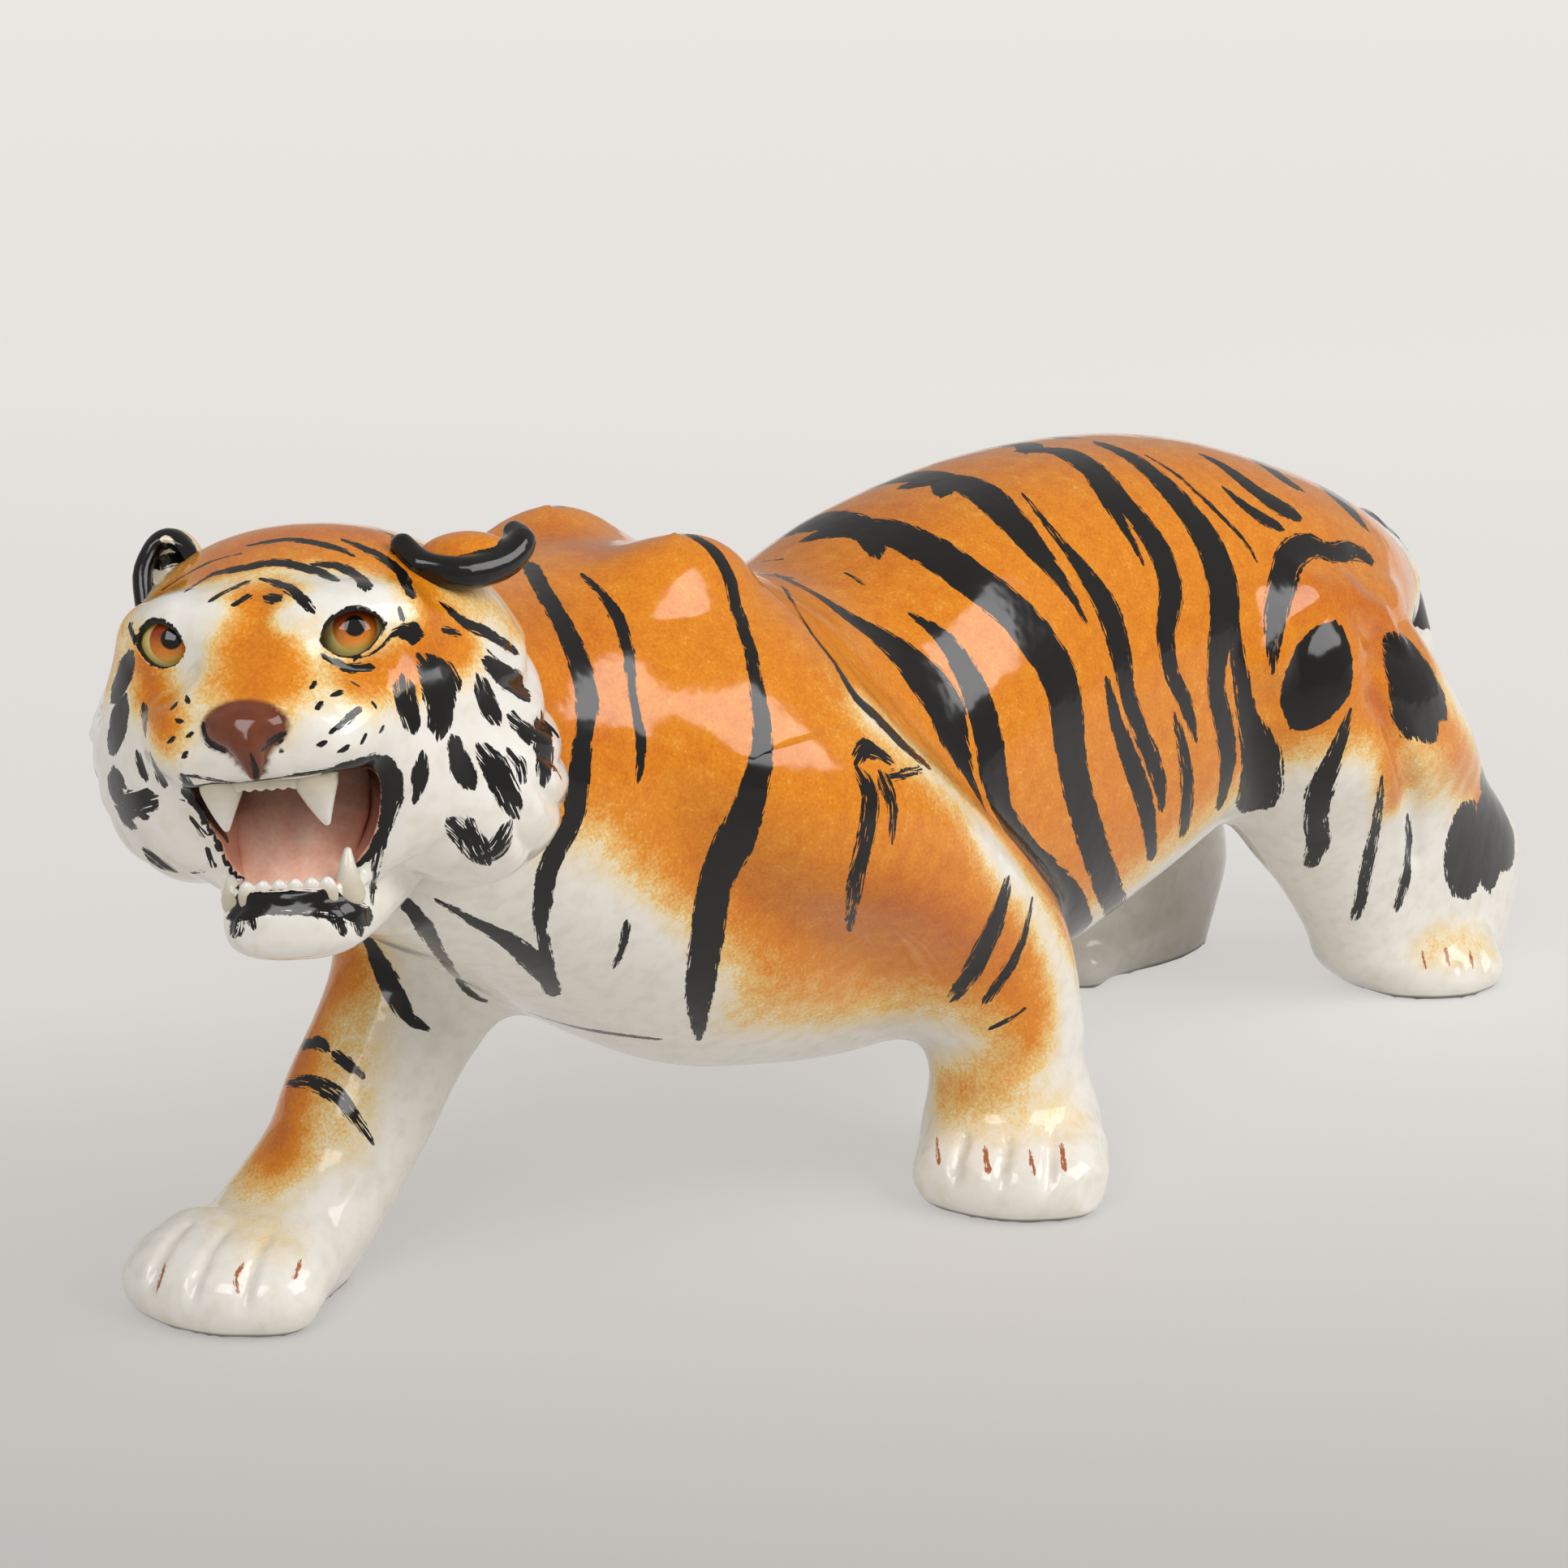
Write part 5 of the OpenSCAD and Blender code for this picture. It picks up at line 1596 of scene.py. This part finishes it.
@dataclass(frozen=True)
class PaintedGlaze:
    """Glazed earthenware: white biscuit, airbrushed with orange, striped by brush, under a clear gloss glaze.

    The eye sees a soft, finely speckled change from white over yellow to orange, black strokes with ragged
    edges and bristle marks, and sharp reflections that waver with the hand-dipped glaze. The sizes of drops,
    clouds, ragged edges and wavering are in millimetres.
    """

    white: str = "#ECE8E0"
    shade: str = "#DAD3C2"
    yellow: str = "#EFCF86"
    orange: str = "#E08A16"
    deep: str = "#CB690E"
    rust: str = "#B4520C"
    ink: str = "#100E0D"
    claw: str = "#A9643C"
    nose: str = "#532213"
    nose_light: str = "#84472C"
    flesh: str = "#E9AA92"
    # Roof of the mouth: a darker colour, partly painted shade under the upper jaw
    palate_shade: str = "#4E2418"
    # Band where the piece stands, colour and height: painted contact shadow on the unglazed edge
    foot_shade: str = "#4A3524"
    foot_shade_height: float = 2.2
    speckle: float = 0.9
    mottle: float = 5.0
    waver: float = 11.0
    ragged: float = 2.6
    ragged_fine: float = 0.8
    ior: float = 1.52

    def cover(self, g: Graph, name: str, ragged: bpy.types.NodeSocket) -> tuple:
        """Works out where a stroke covers: its half-width less the distance across, made ragged by fine noise
        and streaked along the stroke where the brush was dry.

        Args:
            g: the material's nodes.
            name: the stroke's attribute.
            ragged: noise that moves the edge, in millimetres.

        Returns:
            Cover from 0 to 1, and 1 where the coat is rust.
        """
        mark = g.add("Attribute", {}, "Color", attribute_name=name)
        load = g.add("Attribute", {}, "Alpha", attribute_name=name)
        part = g.add("SeparateColor", {0: mark}, "Red").node
        across, along, width = part.outputs["Red"], part.outputs["Green"], part.outputs["Blue"]
        rust = g.add("Math", {0: load, 1: 1.0}, operation="GREATER_THAN")
        dry = g.add("Math", {0: rust, 1: -2.0, 2: load}, operation="MULTIPLY_ADD")
        away = g.add("Math", {0: across}, operation="ABSOLUTE")
        edge = g.add("Math", {0: width, 1: away}, operation="SUBTRACT")
        edge = g.add("Math", {0: edge, 1: ragged}, operation="ADD")
        fine = g.add("Math", {0: across, 1: 2.2}, operation="MULTIPLY")
        slow = g.add("Math", {0: along, 1: 0.16}, operation="MULTIPLY")
        lane = g.add("CombineXYZ", {0: fine, 1: slow, 2: load})
        streak = g.add("TexNoise", {"Vector": lane, "Scale": 1.0, "Detail": 2.0})
        bare = g.add("MapRange", {0: streak, 1: 0.52, 2: 0.72, 3: 0.0, 4: 5.0})
        loss = g.add("Math", {0: bare, 1: dry}, operation="MULTIPLY")
        edge = g.add("Math", {0: edge, 1: loss}, operation="SUBTRACT")
        return g.add("MapRange", {0: edge, 1: -0.14, 2: 0.2}, interpolation_type="SMOOTHSTEP"), rust

    def material(self) -> bpy.types.Material:
        """Builds the nodes.

        Returns:
            The material.
        """
        g = Graph("painted_glazed_earthenware")
        place = g.add("TexCoord", {}, "Object")
        coarse = g.add("TexNoise", {"Vector": place, "Scale": PER_METRE / self.ragged, "Detail": 2.0})
        fine = g.add("TexNoise", {"Vector": place, "Scale": PER_METRE / self.ragged_fine, "Detail": 1.0})
        ragged = g.add("Math", {0: coarse, 1: 1.5, 2: -0.75}, operation="MULTIPLY_ADD")
        ragged = g.add("Math", {0: fine, 1: 0.5, 2: ragged}, operation="MULTIPLY_ADD")
        ragged = g.add("Math", {0: ragged, 1: 0.25}, operation="SUBTRACT")
        tint = g.add("Attribute", {}, "Color", attribute_name="tint")
        nose = g.add("Attribute", {}, "Alpha", attribute_name="tint")
        part = g.add("SeparateColor", {0: tint}, "Red").node
        mouth = g.add("Attribute", {}, "Fac", attribute_name="mouth")
        # Sprayed stain: fine drops of about a millimetre, gathered in soft clouds
        drops = g.add("TexNoise", {
            "Vector": place, "Scale": PER_METRE / self.speckle, "Detail": 2.0, "Roughness": 0.7})
        clouds = g.add("TexNoise", {"Vector": place, "Scale": PER_METRE / self.mottle, "Detail": 3.0})
        grain = g.add("Math", {0: drops, 1: 0.8, 2: -0.4}, operation="MULTIPLY_ADD")
        grain = g.add("Math", {0: clouds, 1: 0.5, 2: grain}, operation="MULTIPLY_ADD")
        grain = g.add("Math", {0: grain, 1: 0.25}, operation="SUBTRACT")
        taper = g.add("MapRange", {0: part.outputs["Red"], 1: 0.0, 2: 0.35})
        stain = g.add("Math", {0: grain, 1: taper, 2: part.outputs["Red"]}, operation="MULTIPLY_ADD")
        dirt = g.add("MapRange", {0: clouds, 1: 0.45, 2: 0.7, 4: 0.5})
        colour = g.add("MixRGB", {0: dirt, 1: linear(self.white), 2: linear(self.shade)})
        for start, end, code in ((0.05, 0.4, self.yellow), (0.3, 0.75, self.orange), (0.75, 1.15, self.deep)):
            step = g.add("MapRange", {0: stain, 1: start, 2: end})
            colour = g.add("MixRGB", {0: step, 1: colour, 2: linear(code)})
        rusty = g.add("Math", {0: grain, 1: 0.6, 2: part.outputs["Green"]}, operation="MULTIPLY_ADD")
        rusty = g.add("Math", {0: rusty, 1: part.outputs["Green"]}, operation="MULTIPLY", use_clamp=True)
        colour = g.add("MixRGB", {0: rusty, 1: colour, 2: linear(self.rust)})
        # Mouth and nose brushed on in flesh and red-brown; the mouth's roof darker, partly painted shade
        upper_mouth_shade = g.add("MapRange", {0: mouth, 1: 0.5, 2: 1.0})
        inside = g.add("MapRange", {0: mouth, 1: 0.1, 2: 0.4})
        flesh = g.add("MixRGB", {0: upper_mouth_shade, 1: linear(self.flesh), 2: linear(self.palate_shade)})
        colour = g.add("MixRGB", {0: inside, 1: colour, 2: flesh})
        red = g.add("MixRGB", {0: clouds, 1: linear(self.nose), 2: linear(self.nose_light)})
        colour = g.add("MixRGB", {0: nose, 1: colour, 2: red})
        for name in ("stroke_a", "stroke_b"):
            cover, rust = self.cover(g, name, ragged)
            coat = g.add("MixRGB", {0: rust, 1: linear(self.ink), 2: linear(self.claw)})
            colour = g.add("MixRGB", {0: cover, 1: colour, 2: coat})
        rim = g.add("Math", {0: ragged, 1: 0.5, 2: part.outputs["Blue"]}, operation="MULTIPLY_ADD")
        rim = g.add("MapRange", {0: rim, 1: 0.4, 2: 0.6})
        colour = g.add("MixRGB", {0: rim, 1: colour, 2: linear(self.ink)})
        # Painted contact shadow: dark brown where the piece stands, where the glaze is also wiped off
        high = g.add("SeparateXYZ", {0: place}, "Z")
        foot_shade = self.foot_shade_height / PER_METRE
        bare = g.add("MapRange", {0: high, 1: foot_shade, 2: foot_shade / 2})
        colour = g.add("MixRGB", {0: bare, 1: colour, 2: linear(self.foot_shade)})
        wave = g.add("TexNoise", {"Vector": place, "Scale": PER_METRE / self.waver, "Detail": 2.0})
        bump = g.add("Bump", {"Strength": 0.25, "Distance": 0.0012, "Height": wave})
        gloss = g.add("MapRange", {0: clouds, 3: 0.07, 4: 0.17})
        return g.close(g.add("BsdfPrincipled", {
            "Base Color": colour, "Roughness": gloss, "IOR": self.ior, "Normal": bump}))


@dataclass(frozen=True)
class ToothGlaze:
    """White glazed teeth: smooth and glossy, warmer and greyer towards the gum, with faint clouds."""

    tip: str = "#EDEAE2"
    root: str = "#C9BFA9"
    cloud: float = 3.0

    def material(self) -> bpy.types.Material:
        """Builds the nodes.

        Returns:
            The material.
        """
        g = Graph("white_glazed_teeth")
        place = g.add("TexCoord", {}, "Object")
        clouds = g.add("TexNoise", {"Vector": place, "Scale": PER_METRE / self.cloud, "Detail": 3.0})
        gum = g.add("Attribute", {}, "Fac", attribute_name="gum")
        share = g.add("Math", {0: clouds, 1: 0.3, 2: gum}, operation="MULTIPLY_ADD")
        share = g.add("MapRange", {0: share, 1: 0.15, 2: 1.1})
        colour = g.add("MixRGB", {0: share, 1: linear(self.tip), 2: linear(self.root)})
        rough = g.add("MapRange", {0: clouds, 3: 0.08, 4: 0.18})
        return g.close(g.add("BsdfPrincipled", {"Base Color": colour, "Roughness": rough, "IOR": 1.52}))


@dataclass(frozen=True)
class TongueGlaze:
    """Flesh-pink glazed tongue: brushed colour in soft clouds, with fine speckle."""

    light: str = "#FFD2BA"
    dark: str = "#F4B298"
    speckle: float = 1.2

    def material(self) -> bpy.types.Material:
        """Builds the nodes.

        Returns:
            The material.
        """
        g = Graph("pink_glazed_tongue")
        place = g.add("TexCoord", {}, "Object")
        drops = g.add("TexNoise", {"Vector": place, "Scale": PER_METRE / self.speckle, "Detail": 2.0})
        clouds = g.add("TexNoise", {"Vector": place, "Scale": PER_METRE / 7, "Detail": 2.0})
        share = g.add("Math", {0: drops, 1: 0.5, 2: clouds}, operation="MULTIPLY_ADD")
        share = g.add("MapRange", {0: share, 1: 0.55, 2: 1.0})
        colour = g.add("MixRGB", {0: share, 1: linear(self.light), 2: linear(self.dark)})
        bump = g.add("Bump", {"Strength": 0.2, "Distance": 0.0006, "Height": drops})
        return g.close(g.add("BsdfPrincipled", {
            "Base Color": colour, "Roughness": 0.22, "IOR": 1.5, "Normal": bump}))


@dataclass(frozen=True)
class EyeGlaze:
    """Painted glazed eye: black pupil in an amber iris that goes from red-brown above to olive below, on a
    straw-coloured ball, all under thick clear glaze.
    """

    pupil: str = "#120E0C"
    # Iris above and below: its darker top is partly painted shade of the upper lid
    high: str = "#93380F"
    low: str = "#DB862C"
    olive: str = "#CCAE4C"
    ball: str = "#D6C174"
    pupil_radius: float = 2.4
    iris_radius: float = 5.3

    def material(self) -> bpy.types.Material:
        """Builds the nodes: rings by distance from the iris' middle, in millimetres.

        Returns:
            The material.
        """
        g = Graph("painted_glazed_eye")
        spot = g.add("Attribute", {}, "Vector", attribute_name="gaze")
        part = g.add("SeparateXYZ", {0: spot}, "X").node
        away = g.add("VectorMath", {0: spot}, "Value", operation="LENGTH")
        place = g.add("TexCoord", {}, "Object")
        flecks = g.add("TexNoise", {"Vector": place, "Scale": PER_METRE / 0.9, "Detail": 2.0})
        # Iris darker towards the top: its paint, and partly painted shade of the upper lid
        turn = g.add("Math", {0: flecks, 1: 2.0, 2: part.outputs["Y"]}, operation="MULTIPLY_ADD")
        fall = g.add("MapRange", {0: turn, 1: 3.2, 2: -2.2})
        iris = g.add("MixRGB", {0: fall, 1: linear(self.high), 2: linear(self.low)})
        sunk = g.add("MapRange", {0: part.outputs["Y"], 1: -3.0, 2: -5.2})
        iris = g.add("MixRGB", {0: sunk, 1: iris, 2: linear(self.olive)})
        edge = g.add("MapRange", {0: away, 1: self.iris_radius - 0.3, 2: self.iris_radius})
        colour = g.add("MixRGB", {0: edge, 1: iris, 2: linear(self.ball)})
        lifted = g.add("VectorMath", {0: spot, 1: (0.0, 0.5, 0.0)}, operation="SUBTRACT")
        from_pupil = g.add("VectorMath", {0: lifted}, "Value", operation="LENGTH")
        dark = g.add("MapRange", {0: from_pupil, 1: self.pupil_radius + 0.25, 2: self.pupil_radius - 0.1})
        colour = g.add("MixRGB", {0: dark, 1: colour, 2: linear(self.pupil)})
        return g.close(g.add("BsdfPrincipled", {"Base Color": colour, "Roughness": 0.04, "IOR": 1.52}))


@dataclass(frozen=True)
class StudioPaper:
    """Pale seamless paper: matt, grey near the lens, and lit to near white behind the piece as the lens sees
    it.
    """

    paper: str = "#DEDBD7"
    seen_paper: str = "#7F7D7B"
    glow: str = "#FFFCF8"
    away: tuple = (0.7363, 0.6766, 0.0)
    fibre: float = 2.5

    def material(self) -> bpy.types.Material:
        """Builds the nodes: the lens sees the paper's shadows at less than half strength, and a glow that
        grows with the distance behind the piece, in metres.

        Returns:
            The material.
        """
        g = Graph("matt_studio_paper")
        place = g.add("TexCoord", {}, "Object")
        fibre = g.add("TexNoise", {"Vector": place, "Scale": PER_METRE / self.fibre, "Detail": 2.0})
        bump = g.add("Bump", {"Strength": 0.03, "Distance": 0.0002, "Height": fibre})
        path = g.add("LightPath", {}).node
        lens, gloss, clear = (path.outputs[f"Is {k} Ray"] for k in ("Camera", "Glossy", "Transmission"))
        seen = g.add("Math", {0: lens, 1: gloss}, operation="ADD")
        seen = g.add("Math", {0: seen, 1: clear}, operation="ADD", use_clamp=True)
        tone = g.add("MixRGB", {0: seen, 1: linear(self.paper), 2: linear(self.seen_paper)})
        paper = g.add("BsdfPrincipled", {"Base Color": tone, "Roughness": 0.85, "Normal": bump})
        behind = g.add("VectorMath", {0: place, 1: self.away}, "Value", operation="DOT_PRODUCT")
        glow = g.add("MapRange", {0: behind, 1: -0.35, 2: 0.1, 3: 0.255, 4: 0.55})
        for start, end, more in ((0.1, 1.1, 0.12), (1.0, 3.2, 0.05)):
            rise = g.add("MapRange", {0: behind, 1: start, 2: end, 4: more})
            glow = g.add("Math", {0: glow, 1: rise}, operation="ADD")
        glow = g.add("Math", {0: glow, 1: seen}, operation="MULTIPLY")
        light = g.add("Emission", {"Color": linear(self.glow), "Strength": glow})
        return g.close(g.add("AddShader", {0: paper, 1: light}))


# Studio


@dataclass(frozen=True)
class Lamp:
    """A soft light: where it hangs, what it points at, its width and height, all in metres, and its watts."""

    place: tuple
    target: tuple
    size: tuple
    power: float


@dataclass
class Studio:
    """Pale floor, soft lights and the camera, whose place and axes were solved from the photograph."""

    place: tuple = (-824.86, -711.58, 434.66)
    right: tuple = (0.6766, -0.7363, 0.0)
    ahead: tuple = (0.7041, 0.6470, -0.2924)
    upward: tuple = (0.2153, 0.1978, 0.9563)
    # Focal length and the photograph's middle, in pixels
    focal: float = 4830.0
    middle: float = 966.0
    sensor: float = 36.0
    lamps: dict = field(default_factory=lambda: {
        "window": Lamp((0.37, -1.05, 0.97), (0, 0, 0.1), (1.15, 0.88), 13.2),
        "fill": Lamp((-1.0, -0.35, 0.9), (-0.1, 0, 0.1), (0.6, 0.6), 5.0)})
    room: tuple = (0.8, 0.79, 0.77, 1)
    room_strength: float = 0.47
    # Half the floor's width, in metres
    floor: float = 6.0

    def rays(self, px: Array) -> Array:
        """Looks from the lens through pixels of the photograph.

        Args:
            px: the pixels.

        Returns:
            Directions of length 1.
        """
        x, y = (px[:, :1] - self.middle) / self.focal, (px[:, 1:] - self.middle) / self.focal
        d = np.array(self.ahead) + x * np.array(self.right) - y * np.array(self.upward)
        return d / np.linalg.norm(d, axis=1)[:, None]

    def camera(self) -> None:
        """Sets the camera at the photograph's place: a 36 mm square sensor behind a 90 mm lens."""
        data = bpy.data.cameras.new("photo_camera")
        data.sensor_width = self.sensor
        data.lens = self.sensor * self.focal / (2 * self.middle)
        data.clip_end = 50.0
        thing = bpy.data.objects.new("photo_camera", data)
        thing.location = (np.array(self.place) + SHIFT) / PER_METRE
        thing.rotation_mode = "QUATERNION"
        thing.rotation_quaternion = Vector(self.ahead).to_track_quat("-Z", "Y")
        bpy.context.scene.collection.objects.link(thing)
        bpy.context.scene.camera = thing

    def hang(self, name: str, lamp: Lamp) -> None:
        """Adds a soft light.

        Args:
            name: name of the light.
            lamp: its place, size and power.
        """
        data = bpy.data.lights.new(name, "AREA")
        data.shape = "RECTANGLE"
        data.size, data.size_y = lamp.size
        data.energy = lamp.power
        thing = bpy.data.objects.new(name, data)
        thing.location = lamp.place
        thing.rotation_mode = "QUATERNION"
        thing.rotation_quaternion = (Vector(lamp.target) - Vector(lamp.place)).to_track_quat("-Z", "Y")
        bpy.context.scene.collection.objects.link(thing)

    def build(self) -> None:
        """Floor, lights, camera and colour settings."""
        self.camera()
        mesh = bpy.data.meshes.new("floor")
        w = self.floor
        mesh.from_pydata([(-w, -w, 0), (w, -w, 0), (w, w, 0), (-w, w, 0)], [], [(0, 1, 2, 3)])
        floor = bpy.data.objects.new("floor", mesh)
        bpy.context.scene.collection.objects.link(floor)
        mesh.materials.append(StudioPaper().material())
        for name, lamp in self.lamps.items():
            self.hang(name, lamp)
        world = bpy.data.worlds.new("room")
        world.use_nodes = True
        world.node_tree.nodes["Background"].inputs[0].default_value = self.room
        world.node_tree.nodes["Background"].inputs[1].default_value = self.room_strength
        bpy.context.scene.world = world
        bpy.context.scene.view_settings.view_transform = "Standard"


def main() -> None:
    """Builds the tiger and its studio."""
    logging.basicConfig(level=logging.INFO, format="%(name)s: %(message)s")
    studio = Studio()
    studio.build()
    body, head = Body(), Head()
    trunk, face, small = body.skins(), head.skins(), head.fittings()
    eyes = [head.eyeball(s, studio) for s in (-1, 1)]
    for skin in trunk + face + small + eyes:
        skin.build()
    painter = Painter(studio, trunk + face, head)
    glaze = PaintedGlaze().material()
    limbs = (Limb.BODY, Limb.HIND, Limb.FRONT, Limb.ONCE)
    lines = painter.lines({k: STROKES[k] for k in limbs})
    for skin in trunk:
        tail = skin.name == "tail_skin"
        if tail:
            skin.marks["ink"] = body.rings(skin.points)
        painter.dress(skin, [] if tail else lines, body.orange(skin.points), () if tail else limbs)
    lines = painter.lines({k: STROKES[k] for k in (Limb.HEAD, Limb.CHEEK)})
    for skin in face:
        painter.dress(skin, lines, skin.marks["orange"], (Limb.HEAD, Limb.CHEEK))
    for skin in trunk + face:
        skin.thing.data.materials.append(glaze)
    tooth, tongue, iris = ToothGlaze().material(), TongueGlaze().material(), EyeGlaze().material()
    for skin in small:
        skin.thing.data.materials.append(tooth if "gum" in skin.marks else tongue)
        if "gum" in skin.marks:
            skin.note("gum", "FLOAT", "POINT", skin.marks["gum"])
    for skin in eyes:
        skin.note("gaze", "FLOAT_VECTOR", "POINT", skin.marks["gaze"])
        skin.thing.data.materials.append(iris)


if __name__ == "__main__":
    main()
